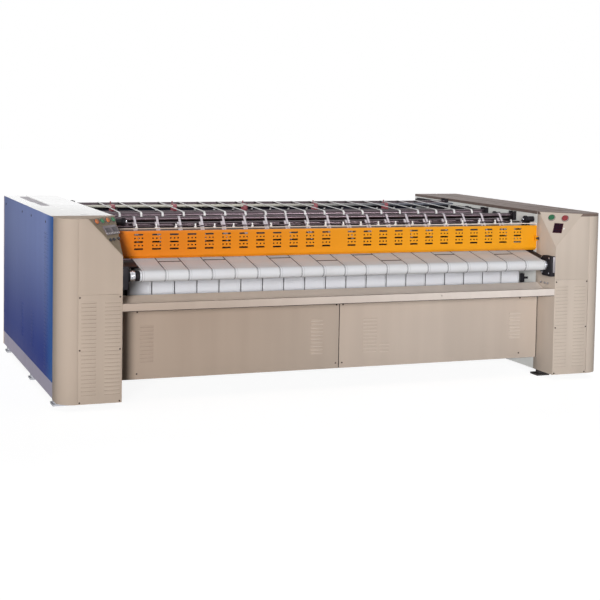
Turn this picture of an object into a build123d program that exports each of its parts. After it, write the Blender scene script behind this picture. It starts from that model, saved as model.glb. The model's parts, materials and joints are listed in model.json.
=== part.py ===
from build123d import *
from math import atan2, cos, degrees, radians, sin
import os

# Two-roll flatwork ironer with feed belts, ironing belts, guide tapes and a finger guard.
# Frame: +X along the rolls to the operator's right, +Y from the feeding side to the back, +Z up.
# The origin is on the floor, in the middle of the footprint. Sizes are in millimetres.

# ---------------------------------------------------------------- overall sizes
machine_length = 4230
machine_depth = 2540
machine_height = 1290
cabinet_width = 430
foot_height = 40
sheet = 3
wall_plate = 10

# cabinets
corner_radius = 120
hood_depth = 290
side_seam = 216
facet_across = 240
facet_back = 270
facet_down = 258
plinth_height = 110
plinth_inset = 6
top_lip = 28
panel_gap = 1.5
seat_gap = 0.3

# louvred access panels on the cabinet fronts
louvre_panel_side = 130
louvre_panel_height = 740
louvre_columns = ((20, 103), (179, 109))
louvre_count = 24
louvre_pitch = 27
louvre_first = 59
louvre_opening = 15
louvre_depth = 6

# rolls
roll_radius = 395
roll_wall = 12
roll_head = 16
roll_drop = 530
front_roll_from_front = 900
roll_spacing = 880
roll_end_room = 35
journal_radius = 45
journal_bore = 36
journal_hole_gap = 12
pillow_thickness = 60
pillow_size = 170
bearing_sides = 16

# belts
belt_count = 19
belt_gap = 4
belt_thickness = 3
feed_belt_thickness = 2
drive_side_room = 145
service_side_room = 65.5
contact_gap = 0.4
belt_facets = 8
roll_facets = 12
turn_facets = 6

# belt rollers; a drop is measured down from the top of the machine
feed_roller_radius = 38
feed_roller_from_front = 90
feed_roller_drop = 402
feed_end_gap = 5.4
feed_end_rise = 56
feed_journal_radius = 16
turn_roller_radius = 30
upper_turn_rise = 200
lower_turn_fall = 460
roller_end_room = 12
bearing_thickness = 30
bearing_margin = 16
running_clearance = 0.05
shaft_end_gap = 1

# guide tapes and their rollers
tape_width = 16
tape_thickness = 2
tape_facets = 6
nip_tape_radius = 20
nip_tape_behind = 148
nip_tape_drop = 195
front_tape_radius = 20
front_tape_from_front = 660
front_tape_drop = 60
top_tape_radius = 27
top_tape_drop = 71
middle_tape_from_front = 1140
rear_tape_from_front = 1890
rear_tape_drop = 46
lower_tape_radius = 20
lower_tape_behind = 70
lower_tape_drop = 115
crossbar_from_front = 1782
crossbar_width = 60
crossbar_height = 24
crossbar_drop = 34
clamp_belts = (1.02, 4.08, 7.72, 11.5, 15.45)
clamp_width = 34
clamp_thickness = 6
clamp_leg = 50

# idlers and chain case on the inner walls
idler_radius = 34
idler_sides = 12
idler_from_front = 436
idler_drop = 100
case_height = 44
rear_case_height = 80
rear_case_end_gap = 60

# feeding bed
bed_thickness = 6
bed_margin = 20

# finger guard
guard_from_front = 290
guard_drop = 112
guard_height = 175
guard_lip = 24
guard_lip_angle = 50
guard_flange = 34
guard_thickness = 2.5
guard_side_gap = 2
guard_pin_radius = 7
pin_sides = 12
guard_groups = 12
guard_end_margin = 141
guard_middle_gap = 203
guard_slot_length = 65
guard_slot_height = 10
guard_row_drops = (26, 77, 127)

# receiving tray
tray_drop = 578
tray_lip_height = 52
tray_fall = 23
tray_low_from_front = 167
tray_back_rise = 17
tray_back_from_front = 267
lower_panel_from_front = 250
lower_panel_bottom = 139
lower_panel_drop = 650
rear_panel_drop = 75
flange = 22

# base
beam_size = 80
beam_z = 150
beams_from_front = (330, 1340, 2430)
rail_width = 50
rail_height = 60
feet_from_front = (240, 1180, 2375)
foot_pad_size = 110
foot_pad_thickness = 14
foot_reach = 22
foot_post_size = 50

# feed roller brackets
bracket_thickness = 40
bracket_depth = 165
bracket_chamfer = 41
bracket_below_roller = 82
bracket_above_roller = 74

# drive and services
sprocket_radius = 150
motor_sprocket_radius = 60
sprocket_width = 14
hub_sides = 12
sprocket_offset = 30
chain_thickness = 9
chain_width = 20
gearbox_size = (150, 240, 240)
motor_radius = 95
motor_length = 280
motor_from_front = 1340
motor_height = 330
motor_shaft_radius = 20
union_radius = 52
union_length = 95
union_sides = 6
pipe_sides = 8
header_fall = 280
header_radius = 34
pipe_radius = 24
electric_box_width = 220
electric_box_height = 560
electric_box_side_room = 45
electric_box_drop = 170

# controls on the sloping corner panels, in the panel's own plane from its lowest corner
panel_inset = 5
facet_window_inset = 12
facet_window_depth = 9
panel_plate = 2.5
button_radius = 17
stop_button_radius = 24
button_stem = 12
button_sides = 12
button_clearance = 0.3
button_travel = 3
button_height = 8
button_depth = 16
left_button_row = 283
left_button_middle = 27
left_button_pitch = 74
right_button_row = 261
right_button_places = (-86, 22)
knob_radius = 11
knob_sides = 8
knob_height = 14
knob_grip = 5
knob_grip_length = 16
knob_gap = 0.3
knob_row = 135
knob_places = (-46, 2, 66)
display_size = (172, 72)
display_middle = (40, 208)
display_thickness = 6
window_size = (62, 34)
window_depth = 2
meter_size = (72, 87)
meter_middle = (-17, 170)
meter_thickness = 5

screw_radius = 6
screw_sides = 6
screw_head = 2.5
screw_inset = 12
louvre_screw_top_gap = 18
lower_screw_inset = 160
split_screw_inset = 24
lower_screw_drop = 26
lower_screw_rise = 40

# ---------------------------------------------------------------- derived places
front = -machine_depth / 2
back = machine_depth / 2
outer_left = -machine_length / 2
inner_left = outer_left + cabinet_width
inner_right = -inner_left
panel_bottom = foot_height
cover_top = machine_height - sheet

roll_ys = (front + front_roll_from_front, front + front_roll_from_front + roll_spacing)
roll_height = machine_height - roll_drop
belts_left = inner_left + drive_side_room
belts_right = inner_right - service_side_room
belt_pitch = (belts_right - belts_left + belt_gap) / belt_count
belt_width = belt_pitch - belt_gap
belt_xs = [belts_left + i * belt_pitch for i in range(belt_count)]
tape_xs = [x + (belt_width - tape_width) / 2 for x in belt_xs]

roller_left = belts_left - roller_end_room
roller_right = belts_right + roller_end_room
shaft_left = inner_left + shaft_end_gap
shaft_right = inner_right - shaft_end_gap

roll_left = roller_left
roll_right = inner_right - roll_end_room
pillow_left = inner_left - wall_plate - pillow_thickness
pillow_right = inner_right + wall_plate
sprocket_x = pillow_left - sprocket_offset - sprocket_width
journal_left = sprocket_x - sprocket_width
journal_right = pillow_right + pillow_thickness + sprocket_offset

roll_face = roll_radius + contact_gap
turn_offset = roll_face + belt_thickness + contact_gap + turn_roller_radius
front_turn_y = roll_ys[0] - turn_offset
rear_turn_y = roll_ys[1] + turn_offset

feed_roller_height = machine_height - feed_roller_drop
feed_end_height = feed_roller_height + feed_end_rise
turn_reach = turn_roller_radius + contact_gap + belt_thickness
feed_end_reach = feed_roller_radius + contact_gap + feed_belt_thickness
feed_end_y = front_turn_y - turn_reach - feed_end_gap - feed_end_reach
upper_turn_height = roll_height + upper_turn_rise
lower_turn_height = roll_height - lower_turn_fall
top_tape_height = machine_height - top_tape_drop

feed_roller_at = (front + feed_roller_from_front, feed_roller_height)
feed_end_at = (feed_end_y, feed_end_height)
nip_tape_at = (feed_end_y + nip_tape_behind, machine_height - nip_tape_drop)
front_tape_at = (front + front_tape_from_front, machine_height - front_tape_drop)
middle_tape_at = (front + middle_tape_from_front, top_tape_height)
rear_tape_at = (front + rear_tape_from_front, machine_height - rear_tape_drop)
lower_tape_at = (rear_tape_at[0] + lower_tape_behind, machine_height - lower_tape_drop)
turn_rollers = {
    "upper_front_roller": (front_turn_y, upper_turn_height),
    "lower_front_roller": (front_turn_y, lower_turn_height),
    "upper_rear_roller": (rear_turn_y, upper_turn_height),
    "lower_rear_roller": (rear_turn_y, lower_turn_height),
}
motor_at = (front + motor_from_front, motor_height)

corner_low = Vector(inner_left, front, machine_height - facet_down)
corner_out = Vector(inner_left - facet_across, front, machine_height)
corner_in = Vector(inner_left, front + facet_back, machine_height)
facet_across_dir = (corner_in - corner_out).normalized()
facet_normal = (corner_low - corner_out).cross(corner_in - corner_out).normalized()
if facet_normal.Z < 0:
    facet_normal = facet_normal * -1
left_facet = Plane(origin=corner_low, x_dir=facet_across_dir, z_dir=facet_normal)
right_facet = Plane(
    origin=(-corner_low.X, corner_low.Y, corner_low.Z),
    x_dir=(facet_across_dir.X, -facet_across_dir.Y, facet_across_dir.Z),
    z_dir=(-facet_normal.X, facet_normal.Y, facet_normal.Z),
)
facet_left_end = left_facet.to_local_coords(corner_out)
facet_right_end = left_facet.to_local_coords(corner_in)

guard_y = front + guard_from_front
guard_top = machine_height - guard_drop
guard_bottom = guard_top - guard_height
guard_left = inner_left + guard_side_gap
guard_wide = inner_right - inner_left - 2 * guard_side_gap
guard_slots_end = guard_wide / 2 - guard_end_margin - guard_slot_length / 2
guard_group_pitch = (guard_slots_end - guard_middle_gap / 2) / (guard_groups - 1)
guard_pin_at = (guard_y + guard_flange / 2, guard_top - guard_flange / 2)

parts = {}


def keep(name, builder):
    """Labels a finished piece and puts it in the list that is written at the end."""
    builder.part.label = name
    parts[name] = builder.part


def side_plane(x):
    """A sketch plane square to the rolls, with its own x along the depth and y upwards."""
    return Plane.YZ.offset(x)


def stretched(rollers, grow, facets, run_angle=0.0):
    """Face stretched round rollers given as (y, z, radius), in flats that lie along the runs."""
    with BuildSketch() as face:
        for y, z, radius in rollers:
            with Locations((y, z)):
                RegularPolygon(
                    radius + grow,
                    facets,
                    major_radius=False,
                    rotation=run_angle + 90 - 180 / facets,
                )
        make_hull()
    return face.sketch


def belt_section(rollers, gap, thickness, facets, run_angle=0.0):
    """Section of a belt that runs round the rollers with the given gap and thickness."""
    with BuildSketch() as section:
        add(stretched(rollers, gap + thickness, facets, run_angle))
        add(stretched(rollers, gap, facets, run_angle), mode=Mode.SUBTRACT)
    return section.sketch


def angle_between(low, high):
    """Slope in degrees of the line between two axes given as (y, z)."""
    return degrees(atan2(high[1] - low[1], high[0] - low[0]))


def open_bearings(name, places, thickness):
    """Blocks on both inner walls, each notched from above for a shaft at ((y, z), radius)."""
    with BuildPart() as bearings:
        for bearing_x in (inner_left, inner_right - thickness):
            with BuildSketch(side_plane(bearing_x)):
                for at, radius in places:
                    with Locations(at):
                        Rectangle(2 * (radius + bearing_margin), 2 * (radius + bearing_margin))
                for (y, z), radius in places:
                    seat = radius + running_clearance
                    with Locations((y, z - seat)):
                        Rectangle(
                            2 * seat,
                            seat + radius + bearing_margin,
                            align=(Align.CENTER, Align.MIN),
                            mode=Mode.SUBTRACT,
                        )
            extrude(amount=thickness)
    keep(name, bearings)


# ---------------------------------------------------------------- base
with BuildPart() as base_frames:
    rail_xs = (outer_left + plinth_inset + sheet + rail_width / 2, inner_left - wall_plate - rail_width / 2)
    frame_front = front + side_seam / 2
    with BuildSketch(Plane.XY.offset(foot_height)):
        with Locations(((rail_xs[0] + rail_xs[1]) / 2, (frame_front + back - sheet) / 2)):
            Rectangle(rail_xs[1] - rail_xs[0] + rail_width, back - sheet - frame_front)
            Rectangle(
                rail_xs[1] - rail_xs[0] - rail_width,
                back - sheet - frame_front - 2 * rail_width,
                mode=Mode.SUBTRACT,
            )
        with Locations(((rail_xs[0] + rail_xs[1]) / 2, front + motor_from_front)):
            Rectangle(rail_xs[1] - rail_xs[0], gearbox_size[1] + rail_width)
    extrude(amount=rail_height)
    mirror(about=Plane.YZ)
keep("base_frames", base_frames)

with BuildPart() as cross_beams:
    with BuildSketch(side_plane(inner_left)):
        with Locations([(front + y, beam_z + beam_size / 2) for y in beams_from_front]):
            Rectangle(beam_size, beam_size)
            Rectangle(beam_size - 2 * sheet, beam_size - 2 * sheet, mode=Mode.SUBTRACT)
    extrude(amount=inner_right - inner_left)
keep("cross_beams", cross_beams)

with BuildPart() as feet:
    pad_xs = (outer_left + foot_pad_size / 2, inner_left + foot_reach - foot_pad_size / 2)
    foot_ys = [front + y for y in feet_from_front]
    for xs, size, height in (
        (pad_xs, foot_pad_size, foot_pad_thickness),
        (rail_xs, foot_post_size, foot_height),
    ):
        with BuildSketch():
            with Locations([(x, y) for x in xs for y in foot_ys]):
                Rectangle(size, size)
        extrude(amount=height)
    mirror(about=Plane.YZ)
keep("feet", feet)

# ---------------------------------------------------------------- cabinets
with BuildPart() as inner_walls:
    with BuildSketch(side_plane(inner_left - wall_plate)):
        with Locations((front + hood_depth, foot_height)):
            Rectangle(
                machine_depth - hood_depth - sheet,
                cover_top - foot_height,
                align=(Align.MIN, Align.MIN),
            )
        journal_hole = 2 * (journal_radius + journal_hole_gap)
        with Locations([(y, roll_height) for y in roll_ys]):
            Rectangle(journal_hole, journal_hole, mode=Mode.SUBTRACT)
        pin_hole = 2 * (guard_pin_radius + running_clearance)
        with Locations(guard_pin_at):
            Rectangle(pin_hole, pin_hole, mode=Mode.SUBTRACT)
    extrude(amount=wall_plate)
    mirror(about=Plane.YZ)
keep("inner_walls", inner_walls)

with BuildPart() as front_covers:
    with BuildSketch(Plane.XY.offset(panel_bottom)) as hood_plan:
        with Locations((outer_left, front)):
            Rectangle(cabinet_width, hood_depth, align=(Align.MIN, Align.MIN))
        fillet(hood_plan.vertices().group_by(Axis.Y)[0].sort_by(Axis.X)[0], corner_radius)
    extrude(amount=machine_height - panel_bottom)
    split(bisect_by=left_facet, keep=Keep.BOTTOM)
    offset(
        amount=-sheet,
        openings=[
            front_covers.faces().sort_by(Axis.Y)[-1],
            front_covers.faces().sort_by(Axis.Z)[0],
        ],
    )
    # the outer return stops at the seam with the side panel, below the top
    with BuildSketch(Plane.XY.offset(panel_bottom)):
        with Locations((outer_left, front + side_seam)):
            Rectangle(2 * sheet, hood_depth - side_seam, align=(Align.MIN, Align.MIN))
    extrude(amount=cover_top - panel_bottom, mode=Mode.SUBTRACT)
    # window for the louvred access panel
    with BuildSketch(Plane.XZ.offset(-front)):
        with Locations((outer_left + louvre_panel_side, panel_bottom)):
            Rectangle(
                cabinet_width - louvre_panel_side - sheet,
                louvre_panel_height,
                align=(Align.MIN, Align.MIN),
            )
    extrude(amount=-sheet, mode=Mode.SUBTRACT)
    # window behind the control panel
    with BuildSketch(left_facet) as facet_window:
        Polygon(
            (0, 0),
            (facet_right_end.X, facet_right_end.Y),
            (facet_left_end.X, facet_left_end.Y),
            align=None,
        )
        offset(amount=-facet_window_inset, kind=Kind.INTERSECTION, mode=Mode.REPLACE)
    extrude(amount=-facet_window_depth, mode=Mode.SUBTRACT)
    mirror(about=Plane.YZ)
keep("front_covers", front_covers)

with BuildPart() as louvre_panels:
    panel_x = outer_left + louvre_panel_side + seat_gap
    panel_wide = cabinet_width - louvre_panel_side - sheet - 2 * seat_gap
    panel_y = front + screw_head
    with BuildSketch(Plane.XZ.offset(-panel_y)):
        with Locations((panel_x, panel_bottom)):
            Rectangle(panel_wide, louvre_panel_height - panel_gap, align=(Align.MIN, Align.MIN))
    extrude(amount=-sheet)
    # each louvre column is a pressed bank, deeper than the sheet
    bank_height = louvre_count * louvre_pitch
    for column_x, column_wide in louvre_columns:
        with BuildSketch(Plane.XZ.offset(-panel_y - sheet)):
            with Locations((panel_x + column_x, panel_bottom + louvre_first)):
                Rectangle(column_wide, bank_height, align=(Align.MIN, Align.MIN))
        extrude(amount=-louvre_depth)
    for column_x, column_wide in louvre_columns:
        with BuildSketch(side_plane(panel_x + column_x + sheet)):
            for i in range(louvre_count):
                with Locations((panel_y, panel_bottom + louvre_first + i * louvre_pitch + sheet)):
                    Polygon((0, 0), (louvre_depth, 0), (0, louvre_opening), align=None)
        extrude(amount=column_wide - 2 * sheet, mode=Mode.SUBTRACT)
    mirror(about=Plane.YZ)
keep("louvre_panels", louvre_panels)

with BuildPart() as side_panels:
    panel_long = machine_depth - side_seam - sheet - panel_gap
    with BuildSketch(Plane.YZ.offset(outer_left)):
        with Locations((front + side_seam + panel_gap, foot_height + plinth_height)):
            Rectangle(
                panel_long,
                cover_top - foot_height - plinth_height,
                align=(Align.MIN, Align.MIN),
            )
    extrude(amount=flange)
    offset(amount=-sheet, openings=side_panels.faces().sort_by(Axis.X)[-1])
    mirror(about=Plane.YZ)
keep("side_panels", side_panels)

with BuildPart() as plinths:
    with BuildSketch(Plane.YZ.offset(outer_left + plinth_inset)):
        with Locations((front + side_seam + panel_gap, foot_height)):
            Rectangle(panel_long, plinth_height - panel_gap, align=(Align.MIN, Align.MIN))
    extrude(amount=sheet)
    mirror(about=Plane.YZ)
keep("plinths", plinths)

with BuildPart() as top_covers:
    with BuildSketch(Plane.XY.offset(cover_top)):
        with Locations((outer_left, front + hood_depth + panel_gap)):
            Rectangle(
                cabinet_width,
                machine_depth - hood_depth - panel_gap,
                align=(Align.MIN, Align.MIN),
            )
    extrude(amount=sheet)
    # turned-down edges inside the cabinet walls
    lip_left = outer_left + flange + panel_gap
    lip_right = inner_left - wall_plate - panel_gap
    lip_front = front + hood_depth + flange
    lip_back = back - sheet - panel_gap
    with BuildSketch(Plane.XY.offset(cover_top)):
        with Locations(((lip_left + lip_right) / 2, (lip_front + lip_back) / 2)):
            Rectangle(lip_right - lip_left, lip_back - lip_front)
            Rectangle(
                lip_right - lip_left - 2 * sheet, lip_back - lip_front - 2 * sheet, mode=Mode.SUBTRACT
            )
    extrude(amount=-top_lip)
    mirror(about=Plane.YZ)
keep("top_covers", top_covers)

with BuildPart() as cabinet_backs:
    with BuildSketch(Plane.XZ.offset(-back)):
        with Locations((outer_left, foot_height)):
            Rectangle(cabinet_width, cover_top - foot_height, align=(Align.MIN, Align.MIN))
    extrude(amount=sheet)
    mirror(about=Plane.YZ)
keep("cabinet_backs", cabinet_backs)

# ---------------------------------------------------------------- panels between the cabinets
half_span = inner_right - seat_gap
lower_panel_top = machine_height - lower_panel_drop
tray_lip_top = machine_height - tray_drop
tray_low = tray_lip_top - tray_fall
with BuildPart() as lower_front_panels:
    with BuildSketch(Plane.XZ.offset(-front - lower_panel_from_front)):
        with Locations((panel_gap / 2, lower_panel_bottom)):
            Rectangle(
                half_span - panel_gap / 2,
                lower_panel_top - lower_panel_bottom,
                align=(Align.MIN, Align.MIN),
            )
    extrude(amount=-flange)
    offset(amount=-sheet, openings=lower_front_panels.faces().sort_by(Axis.Y)[-1])
    mirror(about=Plane.YZ)
keep("lower_front_panels", lower_front_panels)

with BuildPart() as rear_panels:
    with BuildSketch(Plane.XZ.offset(-back)):
        with Locations((panel_gap / 2, lower_panel_bottom)):
            Rectangle(
                half_span - panel_gap / 2,
                machine_height - rear_panel_drop - lower_panel_bottom,
                align=(Align.MIN, Align.MIN),
            )
    extrude(amount=flange)
    offset(amount=-sheet, openings=rear_panels.faces().sort_by(Axis.Y)[0])
    mirror(about=Plane.YZ)
keep("rear_panels", rear_panels)

with BuildPart() as receiving_tray:
    with BuildSketch(side_plane(-half_span)):
        with BuildLine():
            Polyline(
                (front + lower_panel_from_front + flange, lower_panel_top),
                (front, tray_lip_top - tray_lip_height),
                (front, tray_lip_top),
                (front + tray_low_from_front, tray_low),
                (front + tray_back_from_front, tray_lip_top + tray_back_rise),
            )
            offset(amount=sheet, side=Side.RIGHT)
        make_face()
    extrude(amount=2 * half_span)
keep("receiving_tray", receiving_tray)

# ---------------------------------------------------------------- rolls
for name, roll_y in zip(("front_roll", "rear_roll"), roll_ys):
    axis = Axis((0, roll_y, roll_height), (1, 0, 0))
    with BuildPart() as roll:
        roll_plane = Plane(origin=(0, roll_y, roll_height), x_dir=(1, 0, 0), z_dir=(0, -1, 0))
        with BuildSketch(roll_plane):
            Polygon(
                (journal_left, 0),
                (journal_left, journal_radius),
                (roll_left, journal_radius),
                (roll_left, roll_radius),
                (roll_right, roll_radius),
                (roll_right, journal_radius),
                (journal_right, journal_radius),
                (journal_right, 0),
                align=None,
            )
        revolve(axis=axis)
        # hollow between the heads, reached through the square bore of the journals
        with BuildSketch(roll_plane):
            with Locations(((roll_left + roll_right) / 2, 0)):
                Rectangle(
                    roll_right - roll_left - 2 * roll_head,
                    roll_radius - roll_wall,
                    align=(Align.CENTER, Align.MIN),
                )
        revolve(axis=axis, mode=Mode.SUBTRACT)
        with BuildSketch(side_plane(journal_left)):
            with Locations((roll_y, roll_height)):
                Rectangle(journal_bore, journal_bore)
        extrude(amount=journal_right - journal_left, mode=Mode.SUBTRACT)
    keep(name, roll)
    with BuildPart() as sprocket:
        with BuildSketch(side_plane(sprocket_x)):
            with Locations((roll_y, roll_height)):
                Circle(sprocket_radius)
                RegularPolygon(journal_radius, hub_sides, major_radius=False, mode=Mode.SUBTRACT)
        extrude(amount=sprocket_width)
    keep(name + "_sprocket", sprocket)

with BuildPart() as roll_bearings:
    for bearing_x in (pillow_left, pillow_right):
        with BuildSketch(side_plane(bearing_x)):
            for roll_y in roll_ys:
                with Locations((roll_y, roll_height)):
                    Rectangle(pillow_size, pillow_size)
                    RegularPolygon(
                        journal_radius + running_clearance,
                        bearing_sides,
                        major_radius=False,
                        mode=Mode.SUBTRACT,
                    )
        extrude(amount=pillow_thickness)
keep("roll_bearings", roll_bearings)


# ---------------------------------------------------------------- rollers
def plain_roller(name, at, radius):
    """A roller whose full radius runs on into its bearings."""
    with BuildPart() as roller:
        with BuildSketch(side_plane(shaft_left)):
            with Locations(at):
                Circle(radius)
        extrude(amount=shaft_right - shaft_left)
    keep(name, roller)


with BuildPart() as feed_roller:
    with BuildSketch(side_plane(roller_left)):
        with Locations(feed_roller_at):
            Circle(feed_roller_radius)
    extrude(amount=roller_right - roller_left)
    with BuildSketch(side_plane(shaft_left)):
        with Locations(feed_roller_at):
            RegularPolygon(feed_journal_radius, bearing_sides)
    extrude(amount=shaft_right - shaft_left)
keep("feed_roller", feed_roller)

plain_roller("feed_end_roller", feed_end_at, feed_roller_radius)
for name, at in turn_rollers.items():
    plain_roller(name, at, turn_roller_radius)
tape_rollers = (
    ("nip_tape_roller", nip_tape_at, nip_tape_radius),
    ("front_tape_roller", front_tape_at, front_tape_radius),
    ("middle_tape_roller", middle_tape_at, top_tape_radius),
    ("rear_tape_roller", rear_tape_at, top_tape_radius),
    ("lower_tape_roller", lower_tape_at, lower_tape_radius),
)
for name, at, radius in tape_rollers:
    plain_roller(name, at, radius)

belt_bearing_places = [(feed_end_at, feed_roller_radius)]
belt_bearing_places += [(at, turn_roller_radius) for at in turn_rollers.values()]
tape_bearing_places = [(at, radius) for _, at, radius in tape_rollers]
open_bearings("belt_roller_bearings", belt_bearing_places, bearing_thickness)
open_bearings("tape_roller_bearings", tape_bearing_places, bearing_thickness)

with BuildPart() as feed_roller_brackets:
    for bracket_x in (inner_left, inner_right - bracket_thickness):
        with BuildSketch(side_plane(bracket_x)) as bracket_side:
            with Locations((front + sheet, feed_roller_height - bracket_below_roller)):
                Rectangle(
                    bracket_depth,
                    bracket_below_roller + bracket_above_roller,
                    align=(Align.MIN, Align.MIN),
                )
            chamfer(bracket_side.vertices().group_by(Axis.X)[-1], bracket_chamfer)
            journal_seat = feed_journal_radius + running_clearance
            with Locations((feed_roller_at[0], feed_roller_at[1] - journal_seat)):
                Rectangle(
                    2 * journal_seat,
                    journal_seat + bracket_above_roller,
                    align=(Align.CENTER, Align.MIN),
                    mode=Mode.SUBTRACT,
                )
        extrude(amount=bracket_thickness)
keep("feed_roller_brackets", feed_roller_brackets)

# ---------------------------------------------------------------- belts and tapes
feed_loop = [(*feed_roller_at, feed_roller_radius), (*feed_end_at, feed_roller_radius)]
with BuildPart() as feed_belts:
    with BuildSketch(*[side_plane(x) for x in belt_xs]):
        add(
            belt_section(
                feed_loop,
                contact_gap,
                feed_belt_thickness,
                belt_facets,
                angle_between(feed_roller_at, feed_end_at),
            )
        )
    extrude(amount=belt_width)
keep("feed_belts", feed_belts)

turn_loop = [(*at, turn_roller_radius) for at in turn_rollers.values()]
roll_loop = [(roll_y, roll_height, roll_radius) for roll_y in roll_ys]
with BuildSketch() as ironing_section:
    # inside the turn rollers, outside the rolls, open above them
    add(stretched(turn_loop, contact_gap + belt_thickness, turn_facets, 90))
    add(stretched(roll_loop, contact_gap, roll_facets), mode=Mode.SUBTRACT)
    with Locations(((roll_ys[0] + roll_ys[1]) / 2, roll_height)):
        Rectangle(
            roll_spacing + 2 * roll_face,
            machine_height - roll_height,
            align=(Align.CENTER, Align.MIN),
            mode=Mode.SUBTRACT,
        )
    offset(amount=-belt_thickness, kind=Kind.INTERSECTION, mode=Mode.SUBTRACT)
with BuildPart() as ironing_belts:
    with BuildSketch(*[side_plane(x) for x in belt_xs]):
        add(ironing_section.sketch)
    extrude(amount=belt_width)
keep("ironing_belts", ironing_belts)

for name, loop_rollers in (("front_tapes", tape_rollers[:2]), ("rear_tapes", tape_rollers[2:])):
    loop = [(*at, radius) for _, at, radius in loop_rollers]
    slope = angle_between(loop_rollers[0][1], loop_rollers[1][1])
    with BuildPart() as tapes:
        with BuildSketch(*[side_plane(x) for x in tape_xs]):
            add(belt_section(loop, contact_gap, tape_thickness, tape_facets, slope))
        extrude(amount=tape_width)
    keep(name, tapes)

with BuildPart() as tape_crossbar:
    bar_y = front + crossbar_from_front
    bar_top = machine_height - crossbar_drop
    with BuildSketch(side_plane(inner_left)):
        with Locations((bar_y, bar_top - crossbar_height / 2)):
            Rectangle(crossbar_width, crossbar_height)
            Rectangle(crossbar_width - 2 * sheet, crossbar_height - 2 * sheet, mode=Mode.SUBTRACT)
    extrude(amount=inner_right - inner_left)
keep("tape_crossbar", tape_crossbar)

with BuildPart() as tape_clamps:
    clamp_xs = [belts_left + i * belt_pitch for i in clamp_belts]
    clamp_inner = crossbar_width + 2 * seat_gap
    with BuildSketch(*[side_plane(x - clamp_width / 2) for x in clamp_xs]):
        with Locations((bar_y, bar_top + clamp_thickness)):
            Rectangle(
                clamp_inner + 2 * clamp_thickness,
                clamp_leg + clamp_thickness,
                align=(Align.CENTER, Align.MAX),
            )
        with Locations((bar_y, bar_top)):
            Rectangle(clamp_inner, clamp_leg, align=(Align.CENTER, Align.MAX), mode=Mode.SUBTRACT)
    extrude(amount=clamp_width)
keep("tape_clamps", tape_clamps)

with BuildPart() as feed_bed:
    # plate between the two runs of the feed belts, hung on the inner walls
    run_angle = atan2(feed_end_rise, feed_end_y - feed_roller_at[0])
    run_length = (feed_end_y - feed_roller_at[0]) / cos(run_angle)
    bed_plane = Plane(
        origin=(0, feed_roller_at[0], feed_roller_at[1]),
        x_dir=(1, 0, 0),
        z_dir=(0, -sin(run_angle), cos(run_angle)),
    ).offset(feed_roller_radius - bed_thickness)
    bed_start = (bracket_depth - feed_roller_from_front) / cos(run_angle) + bed_margin
    bed_end = run_length - feed_roller_radius - bed_margin
    with BuildSketch(bed_plane):
        with Locations(((inner_left + inner_right) / 2, (bed_start + bed_end) / 2)):
            Rectangle(inner_right - inner_left, bed_end - bed_start)
    extrude(amount=bed_thickness)
keep("feed_bed", feed_bed)

# ---------------------------------------------------------------- finger guard
with BuildPart() as finger_guard:
    with BuildSketch(side_plane(guard_left)):
        with BuildLine():
            Polyline(
                (guard_y + guard_flange, guard_top),
                (guard_y, guard_top),
                (guard_y, guard_bottom),
                (
                    guard_y + guard_lip * cos(radians(guard_lip_angle)),
                    guard_bottom - guard_lip * sin(radians(guard_lip_angle)),
                ),
            )
            offset(amount=guard_thickness, side=Side.LEFT)
        make_face()
    extrude(amount=guard_wide)
    half_groups = [guard_middle_gap / 2 + i * guard_group_pitch for i in range(guard_groups)]
    with BuildSketch(Plane.XZ.offset(-guard_y)):
        for drop in guard_row_drops:
            with Locations([(s * x, guard_top - drop) for x in half_groups for s in (-1, 1)]):
                Rectangle(guard_slot_length, guard_slot_height)
    extrude(amount=-guard_thickness, mode=Mode.SUBTRACT)
    # end plates with the hinge pins
    for plate_x in (guard_left, guard_left + guard_wide - sheet):
        with BuildSketch(side_plane(plate_x)):
            with Locations((guard_y + guard_thickness, guard_top - guard_thickness)):
                Rectangle(
                    guard_flange - guard_thickness,
                    guard_flange - guard_thickness,
                    align=(Align.MIN, Align.MAX),
                )
        extrude(amount=sheet)
    pin_long = guard_side_gap + wall_plate - shaft_end_gap + sheet
    for pin_x in (guard_left + sheet - pin_long, guard_left + guard_wide - sheet):
        with BuildSketch(side_plane(pin_x)):
            with Locations(guard_pin_at):
                RegularPolygon(guard_pin_radius, pin_sides)
        extrude(amount=pin_long)
keep("finger_guard", finger_guard)

# ---------------------------------------------------------------- drive
gearbox_right = sprocket_x - sprocket_offset
gearbox_left = gearbox_right - gearbox_size[0]
with BuildPart() as gear_motor:
    gearbox_bottom = foot_height + rail_height
    gearbox_top = motor_height + gearbox_size[2] / 2
    with Locations((gearbox_left, motor_at[0], gearbox_bottom)):
        Box(
            gearbox_size[0],
            gearbox_size[1],
            gearbox_top - gearbox_bottom,
            align=(Align.MIN, Align.CENTER, Align.MIN),
        )
    with BuildSketch(Plane.XZ.offset(-motor_at[0] - gearbox_size[1] / 2)):
        with Locations((gearbox_right - motor_radius, motor_height)):
            Circle(motor_radius)
    extrude(amount=-motor_length)
    with BuildSketch(side_plane(gearbox_right)):
        with Locations(motor_at):
            Rectangle(
                2 * (motor_shaft_radius + running_clearance),
                2 * (motor_shaft_radius + running_clearance),
            )
    extrude(amount=-gearbox_size[0] / 2, mode=Mode.SUBTRACT)
keep("gear_motor", gear_motor)

with BuildPart() as motor_sprocket:
    with BuildSketch(side_plane(sprocket_x)):
        with Locations(motor_at):
            Circle(motor_sprocket_radius)
    extrude(amount=sprocket_width)
    with BuildSketch(side_plane(sprocket_x)):
        with Locations(motor_at):
            RegularPolygon(motor_shaft_radius, hub_sides)
    extrude(amount=-sprocket_offset - gearbox_size[0] / 2 + shaft_end_gap)
keep("motor_sprocket", motor_sprocket)

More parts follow.
